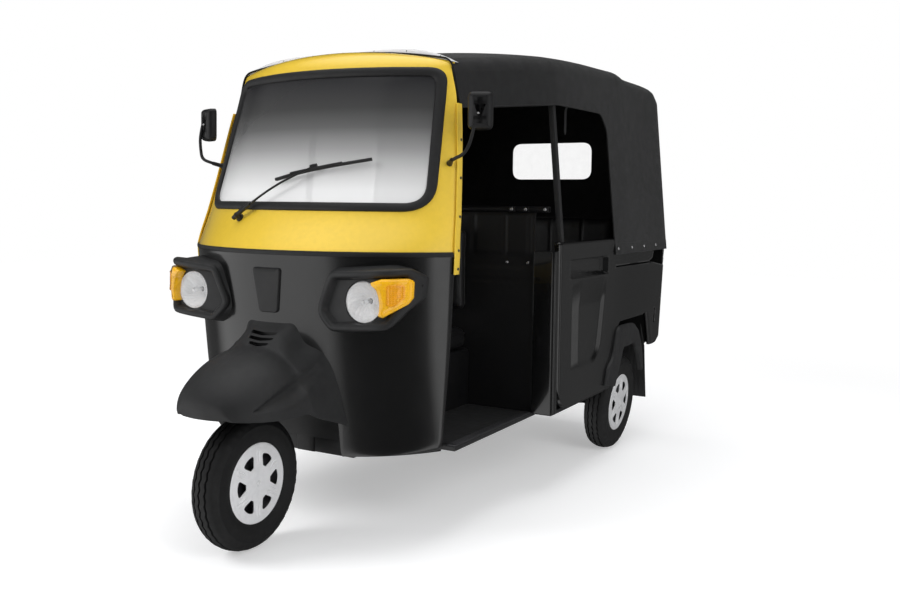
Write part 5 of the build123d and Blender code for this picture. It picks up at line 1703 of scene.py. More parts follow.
@dataclass
class Cab:
    """Floor, dashboard, partition, door pillars and the driver's seat base."""

    dash_half: float = 0.398
    dash_back: float = 0.2845
    dash_low: float = 0.932
    dash_high: float = 1.0295
    partition_front: float = 1.1155
    partition_top: float = 1.195
    seams: tuple[float, ...] = (0.0, 0.155, 0.307, 0.456, 0.572)

    def dashboard(self) -> Piece:
        """Rounded shelf behind the cowl, with a hole for the stem."""
        back, low, high = self.dash_back, self.dash_low, self.dash_high

        def ring(x: float) -> list[Vector]:
            """Section of the shelf at an x."""
            front = COWL.station(x, 0.98) + 0.042
            line = rounded(((front, low), (back - 0.01, low), (back, low + 0.02), (back, high - 0.03),
                            (back - 0.03, high), (front, high)), (0.01, 0.01, 0.01, 0.03, 0.03, 0.01), 4)
            return [spot(x, s, z) for s, z in line]

        shelf = loft("dash_shelf", [ring(self.dash_half * (2 * k / 32 - 1)) for k in range(33)])
        steer = Steering()
        carve(shelf, bar("stem_hole", steer.axis(0.85), steer.axis(1.2), 0.032))
        tray = brick("tray", (0.1, 0.215, 0.995), (0.36, 0.268, 1.05), 0.012, 3)
        carve(shelf, join("trays", [tray, mirrored(tray, "tray_twin")]))
        return soften(shelf, 0.004, 2, 50)

    def gauge(self) -> Piece:
        """Round gauge with a raised bezel on the shelf's back, beside a row of push switches."""
        rows = [(0.0, -0.001), (0.036, -0.001), (0.04, 0.002), (0.041, 0.01), (0.0385, 0.0125),
                (0.0355, 0.0105), (0.0345, 0.0035), (0.0, 0.0035)]
        dial = turned("gauge", rows, aim(spot(-0.15, self.dash_back, 0.981), (0, 1, 0)), 40)
        keys = [brick(f"key_{k}", (0.09 + 0.036 * k, self.dash_back - 0.001, 0.968),
                      (0.115 + 0.036 * k, self.dash_back + 0.007, 0.995), 0.003) for k in range(4)]
        needle = brick("needle", (-0.151, self.dash_back + 0.004, 0.972),
                       (-0.149, self.dash_back + 0.0055, 1.004), 0.0004, 1)
        return join("gauge_and_keys", [dial, needle, *keys])

    def mat(self) -> Piece:
        """Ribbed rubber mat on the driver's floor."""
        def place(u: float, v: float) -> Vector:
            """Point of the mat."""
            edge = min(u, 1 - u, v, 1 - v)
            rib = 0.0018 * (math.sin(2 * math.pi * v * 28) > 0) if edge > 0.02 else 0.0
            return spot(-0.56 + 1.12 * u, 0.455 + 0.64 * v, 0.3528 + rib - (0.001 if edge < 0.005 else 0.0))

        return smooth(thicken(surface("floor_mat", 12, 112, place), 0.0022), 30)

    def sills(self) -> Piece:
        """Tread strips at the door sills."""
        strips = []
        for side in (-1, 1):
            low, high = sorted((side * 0.566, side * 0.6))
            strips.append(brick("sill", (low, 0.435, 0.3505), (high, 1.095, 0.3565), 0.002))
            for k in range(4):
                x = side * (0.571 + 0.008 * k)
                strips.append(brick("sill_rib", (x - 0.0015, 0.45, 0.356), (x + 0.0015, 1.08, 0.3585), 0.0007,
                                    1))
        return join("door_sills", strips)

    def pedal(self) -> Piece:
        """Brake pedal on the floor at the driver's right."""
        arm = tube("pedal_arm", [(-0.3, 0.62, 0.362), (-0.3, 0.56, 0.38), (-0.3, 0.5, 0.445)], 0.008)
        pad = brick("pedal_pad", (-0.34, 0.478, 0.438), (-0.262, 0.494, 0.492), 0.006)
        foot = brick("pedal_foot", (-0.325, 0.6, 0.3505), (-0.275, 0.66, 0.368))
        return join("brake_pedal", [arm, pad, foot])

    def bulkhead(self) -> Piece:
        """Quilted partition behind the driver."""
        half = 0.598
        low, high = 0.351, self.partition_top - 0.0005

        def place(u: float, v: float) -> Vector:
            """Point of the front face, with channels at the seams and a tuck below the quilting."""
            x, z = half * (2 * u - 1), low + (high - low) * v
            near = min(abs(abs(x) - seam) for seam in self.seams)
            crown = 0.005 * (1 - math.exp(-(near / 0.01) ** 2)) * clamp((z - 1.012) / 0.012)
            crown *= min(1.0, (high - z) / 0.012)
            crown = max(crown, 0.003 * min(1.0, abs(z - 0.904) / 0.006) * (z < 0.96))
            edge = 0.002 * max(0.0, 1 - min(half - abs(x), high - z) / 0.008)
            return spot(x, self.partition_front + 0.006 - crown + edge, z)

        return smooth(thicken(surface("bulkhead", 150, 84, place), 0.008, -1.0), 50)

    def rail(self) -> Piece:
        """Rail across the partition's top, with its feet and bolts."""
        z = self.partition_top + 0.0125
        ends = [bar("rail", spot(-0.659, 1.1225, z), spot(0.659, 1.1225, z), 0.0118, 0.003)]
        for x in (-0.645, -0.557, -0.493, 0.493, 0.557, 0.645):
            ends.append(brick("rail_foot", (x - 0.014, 1.1065, z - 0.012), (x + 0.014, 1.1385, z + 0.012)))
        return join("partition_rail", ends)

    def bolts(self) -> Piece:
        """Bolt heads on the rail and the quilting."""
        ahead = (0, -1, 0)
        places = [(spot(side * x, 1.1065, self.partition_top + 0.0125), ahead) for side in (-1, 1)
                  for x in (0.493, 0.557, 0.645)]
        places += [(spot(side * x, self.partition_front + 0.0055, 0.982), ahead) for side in (-1, 1)
                   for x in (0.469, 0.566)]
        return studs("partition_bolts", places, 0.0072, 0.006)

    def pillars(self) -> Piece:
        """Box pillars at the ends of the partition, rounded at their outer corner."""
        posts = []
        for side in (-1, 1):
            line = rounded(((0.6002, 1.1005), (0.6995, 1.1005), (0.6995, 1.1455), (0.6002, 1.1455)),
                           (0.004, 0.02, 0.012, 0.004))
            posts.append(loft("pillar", [[spot(side * x, s, z) for x, s in line] for z in (0.3506, 1.0345)]))
        bracket = brick("pillar_bracket", (-0.6995, 1.14, 0.9955), (-0.6555, 1.2465, 1.0345), 0.006)
        return join("door_pillars", [soften(post, 0.004, 2, 60) for post in posts] + [bracket])

    def seat_box(self) -> Piece:
        """Box under the driver's seat, with a raised door and its two latches."""
        box = brick("seat_box", (-0.2995, 0.7305, 0.3506), (0.2995, 1.1095, 0.5995), 0.012, 3)
        outline = rounded(((-0.24, 0.39), (0.24, 0.39), (0.24, 0.56), (-0.24, 0.56)), [0.03] * 4)
        door = boss("seat_box_door", outline, ((0.0, -0.002), (0.0, 0.003), (0.004, 0.006), (0.02, 0.006)),
                    lambda x, z, proud: spot(x, 0.7305 - proud, z))
        latches = [brick("latch", (x - 0.018, 0.716, 0.545), (x + 0.018, 0.727, 0.565))
                   for x in (-0.17, 0.17)]
        return join("seat_box", [box, door, *latches])

    def build(self) -> None:
        """Makes and publishes the cab's pieces."""
        publish(self.dashboard(), Coat.BLACK, replaces=["dashboard"])
        publish(self.gauge(), Coat.RUBBER)
        publish(self.mat(), Coat.MOULDED)
        publish(self.sills(), Coat.STEEL)
        publish(self.pedal(), Coat.FRAME)
        publish(self.bulkhead(), Coat.VINYL, replaces=["partition"])
        publish(self.rail(), Coat.FRAME)
        publish(self.bolts(), Coat.BRIGHT)
        publish(self.pillars(), Coat.CHARCOAL, replaces=["b_pillars"])
        publish(self.seat_box(), Coat.FRAME, replaces=["driver_seat_base"])


# ---- side and rear body ----------------------------------------------------------------
@dataclass
class SideBody:
    """Left side panel, rear quarters, arch flares and mud flaps."""

    step: float = 0.014
    corner: float = 0.1
    pocket: tuple[float, float, float, float] = (1.267, 1.75, 0.906, 0.991)
    slot_line: tuple[Flat, Flat] = ((1.858, 0.934), (2.694, 0.93))
    panel_outline: tuple[Flat, ...] = ((1.156, 1.071), (1.831, 1.071), (1.831, 0.501), (1.7895, 0.3555),
                                       (1.156, 0.3555))
    quarter_outline: tuple[Flat, ...] = (
        (1.8325, 1.0078), (1.8325, 0.5065), (1.859, 0.6), (1.93, 0.662), (2.375, 0.662), (2.436, 0.484),
        (2.53, 0.49), (2.615, 0.53), (2.627, 0.547), (2.644, 0.71), (2.69, 1.0078))
    quarter_radii: tuple[float, ...] = (0.004, 0.004, 0.04, 0.03, 0.012, 0.012, 0.06, 0.03, 0.02, 0.04, 0.008)
    vent: tuple[Flat, ...] = ((2.385, 0.936), (2.45, 0.955), (2.468, 1.0), (2.678, 1.0), (2.665, 0.903),
                              (2.5, 0.925))
    foot_slot: tuple[Flat, ...] = ((2.484, 0.598), (2.512, 0.602), (2.522, 0.676), (2.496, 0.682))
    flare_outer: tuple[Flat, ...] = ((1.715, 0.379), (1.752, 0.457), (1.815, 0.503), (1.864, 0.601),
                                     (1.896, 0.635), (1.953, 0.642), (2.11, 0.637), (2.161, 0.614),
                                     (2.188, 0.592), (2.232, 0.523), (2.249, 0.477), (2.262, 0.394))
    flare_inner: tuple[Flat, ...] = ((1.836, 0.359), (1.882, 0.431), (1.918, 0.482), (1.95, 0.527),
                                     (2.008, 0.531), (2.13, 0.526), (2.2, 0.444), (2.238, 0.378))

    def depth(self, s: float, z: float) -> float:
        """How far the side panel's face lies inside its plane: the pressed field and the pocket."""
        edge = 1.665 + 0.24 * (z - 0.6)
        ahead, over = edge - s, z - 0.505
        if ahead < self.corner and over < self.corner:
            inside = self.corner - math.hypot(self.corner - ahead, self.corner - over)
        else:
            inside = min(ahead, over)
        share = clamp(inside / 0.028)
        field = self.step * share * clamp((0.9 - z) / 0.12) * clamp((s - 1.29) / 0.12)
        start, stop, low, high = self.pocket
        if start < s < stop and low < z < high:
            ends = min(1.0, (s - start) / 0.01, (stop - s) / 0.006)
            top = min(1.0, (high - z) / 0.004)
            ledge = min(1.0, (z - low) / max(0.012, 0.04 - 0.055 * (s - start)))
            return max(field, 0.025 * min(ends, top, ledge))
        return field

    def side_panel(self) -> Piece:
        """Left panel under the passengers' window."""
        def place(u: float, v: float) -> Vector:
            """Point of the outer face; the front edge turns in."""
            s, z = 1.15 + 0.69 * u, 0.35 + 0.726 * v
            turn = 0.01 * max(0.0, 1 - (s - 1.156) / 0.016) ** 2 + 0.01 * max(0.0,
                                                                              1 - (1.071 - z) / 0.014) ** 2
            return spot(0.7 - self.depth(s, z) - turn, s, z)

        outline = rounded(self.panel_outline, (0.012, 0.004, 0.02, 0.02, 0.12), 8)
        return panel("side_panel_skin", place, outline, 0.6705, (120, 150))

    def quarter(self) -> Piece:
        """Left rear quarter with its feature line and the recess behind it."""
        (s1, z1), (s2, z2) = self.slot_line

        def place(u: float, v: float) -> Vector:
            """Point of the outer face."""
            s, z = 1.826 + 0.874 * u, 0.425 + 0.59 * v
            line = z1 + (z2 - z1) * (s - s1) / (s2 - s1)
            off = abs(z - line)
            groove = 0.008 * max(0.0, 1 - off / 0.0085) if s1 < s < 2.42 else 0.0
            hollow = 0.014 * clamp(inside(self.vent, s, z) / 0.005)
            slot = 0.008 * clamp(inside(self.foot_slot, s, z) / 0.004)
            end = clamp(1 - (2.69 - (1.0078 - z) * 0.155 - s) / 0.03)
            front = s - 2.375 - 0.36 * max(0.0, 0.665 - z)
            turn = 0.012 * clamp(1 - front / 0.045) ** 2 if z < 0.668 and s > 2.3 else 0.0
            return spot(0.7 - max(groove, hollow, slot) - 0.012 * end * end - turn, s, z)

        outline = rounded(self.quarter_outline, self.quarter_radii)
        return panel("quarter_skin", place, outline, 0.6805, (146, 136))

    def hollows(self) -> Piece:
        """Sheets of painted shade, near-black, sunk below the quarter's face in the vent, the foot's slot and
        the seam.
        """
        def place(s: float, z: float, proud: float) -> Vector:
            """Point off the side's plane."""
            return spot(0.7 + proud, s, z)

        (s1, z1), (s2, z2) = self.slot_line
        seam = ((s1 + 0.004, z1 - 0.003), (2.4, 0.9285), (2.4, 0.9355), (s1 + 0.004, z1 + 0.004))
        return join("quarter_shade_sheets", [boss("vent_shade_sheet", dense(self.vent, 0.05),
                                            ((0.0, -0.016), (0.0, -0.0125), (0.001, -0.012)), place),
                                       boss("slot_shade_sheet", rounded(self.foot_slot, [0.012] * 4, 5),
                                            ((0.0, -0.012), (0.0, -0.0028), (0.001, -0.0025)), place),
                                       boss("seam_shade_sheet", dense(seam, 0.06),
                                            ((0.0, -0.012), (0.0, -0.0045), (0.0005, -0.004)), place)])

    def inner_fender(self) -> Piece:
        """Panel over the wheel, behind the arch; its near-black, glossless finish is painted shade."""
        outline = rounded(((1.85, 0.545), (1.905, 0.64), (1.96, 0.685), (2.405, 0.685), (2.45, 0.5),
                           (2.38, 0.492), (2.3, 0.54)), (0.01, 0.03, 0.02, 0.01, 0.01, 0.03, 0.02), 5)
        return soften(prism("inner_fender", outline, "x", 0.664, 0.679), 0.002)

    def flare(self) -> Piece:
        """Arch flare: rounded outer roll, flat band, and a lip turned in over the tyre."""
        outer, inner = ([tuple(spline([point[c] for point in path], k / 64) for c in (0, 1))
                         for k in range(65)] for path in (self.flare_outer, self.flare_inner))
        section = ((0.0, 0.7006), (0.0, 0.706), (0.04, 0.713), (0.1, 0.718), (0.2, 0.7205), (0.5, 0.7215),
                   (0.85, 0.7215), (0.95, 0.719), (1.0, 0.713), (1.0, 0.699), (0.96, 0.6985), (0.96, 0.712),
                   (0.85, 0.716), (0.1, 0.714), (0.03, 0.709), (0.03, 0.7006))
        loops = []
        for (s1, z1), (s2, z2) in zip(outer, inner):
            loops.append([spot(x, s1 + (s2 - s1) * t, z1 + (z2 - z1) * t) for t, x in section])
        return smooth(loft("arch_flare", loops), 40)

    def flap(self) -> Piece:
        """Rubber flap behind the left wheel, with ribs and a fixing bar."""
        def place(u: float, v: float) -> Vector:
            """Point of the flap; it bows a little towards its foot."""
            x = 0.564 + (0.11 + 0.023 * min(1.0, v / 0.35)) * u
            s = 2.3315 + 0.056 * v + 0.006 * v * v
            rib = 0.0015 if 0.08 < v < 0.94 and 0.1 < u < 0.9 and math.sin(u * 40) > 0.2 else 0.0
            return spot(x, s - rib, 0.6395 - 0.43 * v)

        sheet = soften(thicken(surface("mud_flap", 40, 40, place), 0.0055), 0.0012, 1, 60)
        return join("mud_flap", [sheet, brick("flap_bar", (0.565, 2.322, 0.615), (0.663, 2.329, 0.637),
                                              0.002)])

    def build(self) -> None:
        """Makes and publishes the body sides."""
        publish(self.side_panel(), Coat.CHARCOAL, replaces=["side_panel_left"])
        left = self.quarter()
        publish(mirrored(left, "quarter_skin_right"), Coat.CHARCOAL, replaces=["rear_quarter_right"])
        publish(left, Coat.CHARCOAL, replaces=["rear_quarter_left"])
        # Painted shade: near-black sheets in the quarter's hollows, and the panels behind the arches.
        publish(both(self.hollows(), "liners"), Coat.PAINTED_SHADE)
        publish(both(self.inner_fender(), "fenders"), Coat.PAINTED_SHADE)
        publish(both(self.flare(), "flares"), Coat.MOULDED, replaces=["arch_flares"])
        publish(both(self.flap(), "flaps"), Coat.RUBBER, replaces=["mud_flaps"])


@dataclass
class Tail:
    """Tail panel with the engine flap, its hinges, the lamps and a blank plate."""

    flap_half: float = 0.3
    flap_low: float = 0.57
    flap_high: float = 0.9
    hinge: Flat = (2.6833, 0.906)
    knuckles: tuple[Flat, ...] = ((0.19, 0.2055), (0.2265, 0.242))

    LINE = ((0.54, 2.6262), (0.547, 2.627), (0.71, 2.644), (1.008, 2.69), (1.01, 2.6903))

    def at_height(self, x: float, z: float, proud: float = 0.0) -> Vector:
        """Point off the tail's sloping face, a little rounded towards its ends."""
        fall = 0.01 * max(0.0, (abs(x) - 0.64) / 0.04) ** 2
        return spot(x, along_table(self.LINE, 1, z) + proud - fall, z)

    def shell(self) -> Piece:
        """Tail panel around the flap's opening."""
        opening = rounded(((-0.306, 0.564), (0.306, 0.564), (0.306, 0.906), (-0.306, 0.906)), [0.012] * 4, 5)

        def place(u: float, v: float) -> Vector:
            """Point of the outer face, with a pressed line under the hem."""
            x, z = 0.6795 * (1 - 2 * u), 0.5475 + 0.46 * v
            return self.at_height(x, z, -0.004 * math.exp(-((z - 0.955) / 0.006) ** 2))

        shell = thicken(surface("tail_skin", 100, 70, place), 0.018)
        carve(shell, prism("tail_opening", opening, "y", 2.55, 2.75))
        return soften(shell, 0.003, 2, 50)

    def flap(self) -> Piece:
        """Engine flap with a raised border and rows of louvres."""
        def place(u: float, v: float) -> Vector:
            """Point of the outer face."""
            x = self.flap_half * (1 - 2 * u)
            z = self.flap_low + (self.flap_high - self.flap_low) * v
            edge = min(self.flap_half - abs(x), z - self.flap_low, self.flap_high - z)
            field = -0.004 * clamp((edge - 0.018) / 0.01)
            turn = -0.004 * max(0.0, 1 - edge / 0.006) ** 2
            row = (z - 0.735) / 0.024
            lift = 0.0
            if 0 <= row < 5 and 0.045 < abs(x) < 0.235:
                end = min(1.0, (abs(x) - 0.045) / 0.008, (0.235 - abs(x)) / 0.008)
                lift = 0.01 * end * max(0.0, 1 - (row % 1.0) / 0.72)
            return self.at_height(x, z, field + turn + lift)

        flap = thicken(surface("flap_skin", 120, 132, place), 0.012)
        arms = []
        for side in (-1, 1):
            low, high = sorted((side * 0.2068, side * 0.2252))
            arms.append(brick("flap_arm", (low, 2.664, 0.878), (high, 2.6815, 0.905), 0.002, 1))
            arms.append(bar("flap_knuckle", spot(low, *self.hinge), spot(high, *self.hinge), 0.0068, 0.001,
                            20))
        return join("flap_skin", [smooth(flap), *arms])

    def ears(self) -> Piece:
        """Fixed hinge ears and pins."""
        pieces = []
        for side in (-1, 1):
            for inner, outer in self.knuckles:
                low, high = sorted((side * inner, side * outer))
                pieces.append(bar("hinge_ear", spot(low, *self.hinge), spot(high, *self.hinge), 0.0068, 0.001,
                                  20))
                pieces.append(brick("hinge_foot", (low, 2.667, 0.9065), (high, 2.682, 0.9125), 0.001, 1))
            low, high = sorted((side * 0.1895, side * 0.2425))
            pieces.append(bar("hinge_pin", spot(low, *self.hinge), spot(high, *self.hinge), 0.003, 0.0006,
                              14))
        return join("flap_hinges", pieces)

    def latch(self) -> Piece:
        """Turn latch near the flap's foot."""
        base = self.at_height(0.0, 0.6, -0.004)
        rows = [(0.0, 0.0), (0.024, 0.0), (0.026, 0.003), (0.024, 0.006), (0.013, 0.008), (0.011, 0.014),
                (0.0, 0.015)]
        knob = turned("latch_knob", rows, aim(base, (0, 1, -0.1)), 28)
        y = base.y - FRONT_AXLE_Y
        grip = brick("latch_grip", (-0.03, y + 0.008, 0.5945), (0.03, y + 0.017, 0.6055), 0.003)
        return join("flap_latch", [knob, grip])

    def plate(self) -> Piece:
        """Blank number plate on the flap."""
        outline = rounded(((-0.165, 0.632), (0.165, 0.632), (0.165, 0.722), (-0.165, 0.722)), [0.012] * 4, 4)
        return boss("blank_plate", outline, ((0.0, -0.006), (0.0, 0.0015), (0.0015, 0.003), (0.005, 0.003),
                                             (0.0065, 0.0015), (0.01, 0.0015)), self.at_height)

    def lamp(self) -> tuple[Piece, Piece]:
        """Left tail lamp: a black bezel around a ribbed red lens."""
        outline = rounded(((0.5605, 0.7805), (0.6495, 0.7805), (0.6495, 0.9295), (0.5605, 0.9295)),
                          [0.016] * 4, 5)
        bezel = boss("lamp_bezel", outline, ((0.0, -0.01), (0.0, 0.008), (0.002, 0.0108), (0.007, 0.0108),
                                             (0.009, 0.008)), self.at_height)
        lens = boss("lamp_lens", inset(outline, 0.0095), ((0.0, 0.004), (0.0, 0.009), (0.002, 0.011),
                                                          (0.012, 0.0117)), self.at_height,
                    (0.8, 0.6, 0.4, 0.2, 0.0))
        return bezel, lens

    def build(self) -> None:
        """Makes and publishes the tail's pieces."""
        publish(self.shell(), Coat.CHARCOAL, replaces=["tail_panel"])
        publish(self.ears(), Coat.STEEL)
        publish(self.flap(), Coat.CHARCOAL, "engine_flap", ["engine_flap"])
        publish(self.latch(), Coat.STEEL, "engine_flap")
        publish(self.plate(), Coat.PLATE, "engine_flap")
        bezel, lens = self.lamp()
        publish(both(bezel, "tail_lamp_bezels"), Coat.BLACK)
        publish(both(lens, "tail_lamp_lenses"), Coat.RED, replaces=["tail_lamps"])


@dataclass
class Engine:
    """Rear engine: gearbox with output covers, finned cylinder, air cleaner and silencer."""

    def case(self) -> Piece:
        """Gearbox case with its side covers and flanges."""
        pieces = [brick("case", (-0.15, 1.975, 0.215), (0.15, 2.3, 0.42), 0.045, 4)]
        for side in (-1, 1):
            rows = [(0.0, 0.0), (0.105, 0.0), (0.112, 0.01), (0.108, 0.045), (0.08, 0.06), (0.052, 0.066),
                    (0.045, 0.104), (0.0, 0.104)]
            pieces.append(turned("cover", rows, aim(spot(side * 0.148, 2.085, 0.315), (side, 0, 0)), 40))
            flange = [(0.0, 0.0), (0.036, 0.0), (0.04, 0.006), (0.04, 0.08), (0.028, 0.1035), (0.0, 0.1035)]
            pieces.append(turned("flange", flange, aim(spot(side * 0.15, 2.064, 0.247), (side, 0, 0)), 32))
        return join("gearbox", pieces)

    def cylinder(self) -> Piece:
        """Cylinder and head with cooling fins."""
        fins = []
        for k in range(13):
            half = 0.085 + 0.006 * math.sin(k * 0.5)
            z = 0.415 + 0.0135 * k
            fins.append(brick("fin", (-half, 2.15 - half, z), (half, 2.15 + half, z + 0.0042), 0.0015, 1))
        barrel = bar("barrel", spot(0, 2.15, 0.4), spot(0, 2.15, 0.6), 0.062, 0.004)
        head = brick("head", (-0.07, 2.08, 0.585), (0.07, 2.22, 0.6145), 0.012, 3)
        return join("cylinder", [barrel, head, *fins])

    def breathing(self) -> Piece:
        """Air cleaner and hose."""
        rows = [(0.0, 0.0), (0.066, 0.0), (0.072, 0.006), (0.072, 0.022), (0.068, 0.028), (0.068, 0.145),
                (0.06, 0.155), (0.0, 0.157)]
        can = turned("air_can", rows, aim(spot(0.17, 2.3, 0.44), (0, 0, 1)), 40)
        hose = tube("air_hose", [(0.15, 2.25, 0.54), (0.12, 2.17, 0.545), (0.06, 2.15, 0.52)], 0.022, 4)
        return join("air_cleaner", [can, hose])

    def silencer(self) -> Piece:
        """Silencer across the back with its pipe."""
        rows = [(0.0, 0.0), (0.035, 0.0), (0.056, 0.014), (0.058, 0.03), (0.056, 0.034), (0.056, 0.34),
                (0.058, 0.344), (0.056, 0.362), (0.035, 0.376), (0.0, 0.376)]
        can = turned("silencer_can", rows, aim(spot(-0.245, 2.334, 0.262), (1, 0, 0)), 44)
        pipe = tube("exhaust_pipe", [(-0.05, 2.16, 0.43), (-0.17, 2.2, 0.42), (-0.2, 2.3, 0.36),
                                     (-0.18, 2.334, 0.28)], 0.017, 4)
        tip = tube("exhaust_tip", [(0.125, 2.334, 0.25), (0.17, 2.336, 0.246), (0.205, 2.35, 0.222)], 0.014,
                   4)
        return join("silencer", [can, pipe, tip])

    def build(self) -> None:
        """Makes and publishes the engine's pieces."""
        publish(self.case(), Coat.IRON, replaces=["engine_block"])
        publish(self.cylinder(), Coat.IRON)
        publish(self.breathing(), Coat.BLACK)
        publish(self.silencer(), Coat.STEEL)


# ---- seats and canopy ------------------------------------------------------------------
@dataclass(frozen=True)
class Pad:
    """One stuffed pad.

    Attributes:
        name: name of the piece.
        low: lowest corner of its space, as (x, station, z).
        high: highest corner of its space.
        faces: which way its soft face looks.
        channels: x of its sewn channels.
        voxel: size of its cells.
        cap: how far the stuffing may push a point.
    """

    name: str
    low: Solid
    high: Solid
    faces: Solid
    channels: tuple[float, ...]
    voxel: float
    cap: float

    def swell(self, piece: Piece) -> Piece:
        """Lets cloth swell under pressure, holds each point to the cap, and rounds the cells once."""
        modify(piece, "REMESH", mode="VOXEL", voxel_size=self.voxel)
        start = [vertex.co.copy() for vertex in piece.data.vertices]
        take(piece)
        cloth = piece.modifiers.new("Cloth", "CLOTH")
        cloth.settings.use_pressure = True
        cloth.settings.uniform_pressure_force = 4.0
        cloth.settings.effector_weights.gravity = 0.0
        for frame in range(1, 21):
            bpy.context.scene.frame_set(frame)
        bpy.ops.object.modifier_apply(modifier=cloth.name)
        bpy.context.scene.frame_set(1)
        for vertex, origin in zip(piece.data.vertices, start):
            way = vertex.co - origin
            if way.length > self.cap:
                vertex.co = origin + way * (self.cap / way.length)
        return modify(piece, "SUBSURF", levels=1, render_levels=1)

    def sew(self, piece: Piece) -> Piece:
        """Draws the channels and a seam round the soft face in, and keeps the pad inside its space."""
        low, high = spot(*self.low), spot(*self.high)
        outward = Vector(self.faces)
        piece.data.update()
        normals = [vertex.normal.copy() for vertex in piece.data.vertices]
        top = max(vertex.co.dot(outward) for vertex in piece.data.vertices)
        for vertex, normal in zip(piece.data.vertices, normals):
            facing = max(0.0, normal.dot(outward))
            draw = 0.0
            if facing > 0.35:
                gap = min((abs(vertex.co.x - channel) for channel in self.channels), default=1.0)
                draw = 0.009 * math.exp(-(gap / 0.007) ** 2) * facing
            under = abs(top - 0.026 - vertex.co.dot(outward))
            draw = max(draw, 0.003 * math.exp(-(under / 0.004) ** 2) * (1 - facing))
            vertex.co -= normal * draw
            for axis in range(3):
                vertex.co[axis] = min(max(vertex.co[axis], low[axis]), high[axis])
        return smooth(piece, 70)

    def piping(self, piece: Piece) -> Piece:
        """Piping that clings to the seam round the soft face."""
        low, high = Vector(self.low), Vector(self.high)
        upright = abs(self.faces[2]) > 0.5
        depth = 0.026
        if upright:
            corners = ((low.x, low.y), (high.x, low.y), (high.x, high.y), (low.x, high.y))
        else:
            corners = ((low.x, low.z), (high.x, low.z), (high.x, high.z), (low.x, high.z))
        points = []
        for a, b in dense(rounded(corners, [0.045] * 4, 4), 0.06):
            guess = spot(a, b, high.z - depth) if upright else spot(a, low.y + depth, b)
            found, place, normal, _ = piece.closest_point_on_mesh(guess)
            place = place + normal * 0.0008 if found else guess
            points.append(place)
        return tube(self.name + "_piping", stationed(points), 0.0034, 3, ring=True)

    def make(self, node: str) -> None:
        margin = min(0.008, self.cap * 0.8)
        low = tuple(value + margin for value in self.low)
        high = tuple(value - margin for value in self.high)
        piece = self.sew(self.swell(brick(self.name, low, high, 0.026, 4)))
        bpy.context.view_layer.update()
        piping = self.piping(piece)
        publish(piece, Coat.VINYL, replaces=[node])
        publish(piping, Coat.VINYL)


@dataclass
class DriverSeat:
    """Driver's cushion and backrest."""

    cushion: Pad = Pad("driver_pad", (-0.32, 0.7, 0.6005), (0.32, 1.085, 0.7), (0, 0, 1), (-0.11, 0.11),
                       0.0065, 0.01)
    back: Pad = Pad("driver_back_pad", (-0.3, 1.045, 0.76), (0.3, 1.1147, 1.13), (0, -1, 0), (-0.1, 0.1),
                    0.006, 0.008)

    def build(self) -> None:
        """Makes the driver's seat."""
        self.cushion.make("driver_cushion")
        self.back.make("driver_backrest")


@dataclass
class RearSeat:
    """Passengers' bench and backrest, with a grab strap by the door."""

    bench: Pad = Pad("bench_pad", (-0.56, 1.789, 0.675), (0.56, 2.239, 0.7895), (0, 0, 1), (-0.19, 0.19),
                     0.0085, 0.012)
    back: Pad = Pad("bench_back_pad", (-0.56, 2.244, 0.6755), (0.56, 2.3287, 1.1795), (0, -1, 0),
                    (-0.37, -0.19, 0.0, 0.19, 0.37), 0.0085, 0.01)

    def strap(self) -> Piece:
        """Strap that hangs inside the door, from the canopy."""
        loops = []
        for k in range(13):
            v = k / 12
            half = 0.011 * math.sqrt(max(0.02, 1 - max(0.0, (v - 0.9) / 0.1) ** 2))
            x = 0.636 - 0.016 * min(1.0, v * 5)
            loops.append([spot(x + dx, 1.371 + ds, 1.672 - 0.138 * v)
                          for dx, ds in ((0.002, -half), (0.002, half), (-0.002, half), (-0.002, -half))])
        return soften(loft("grab_strap", loops), 0.0012, 1, 60)

    def build(self) -> None:
        """Makes the rear seat and the strap."""
        self.bench.make("passenger_cushion")
        self.back.make("passenger_backrest")
        publish(self.strap(), Coat.RUBBER)


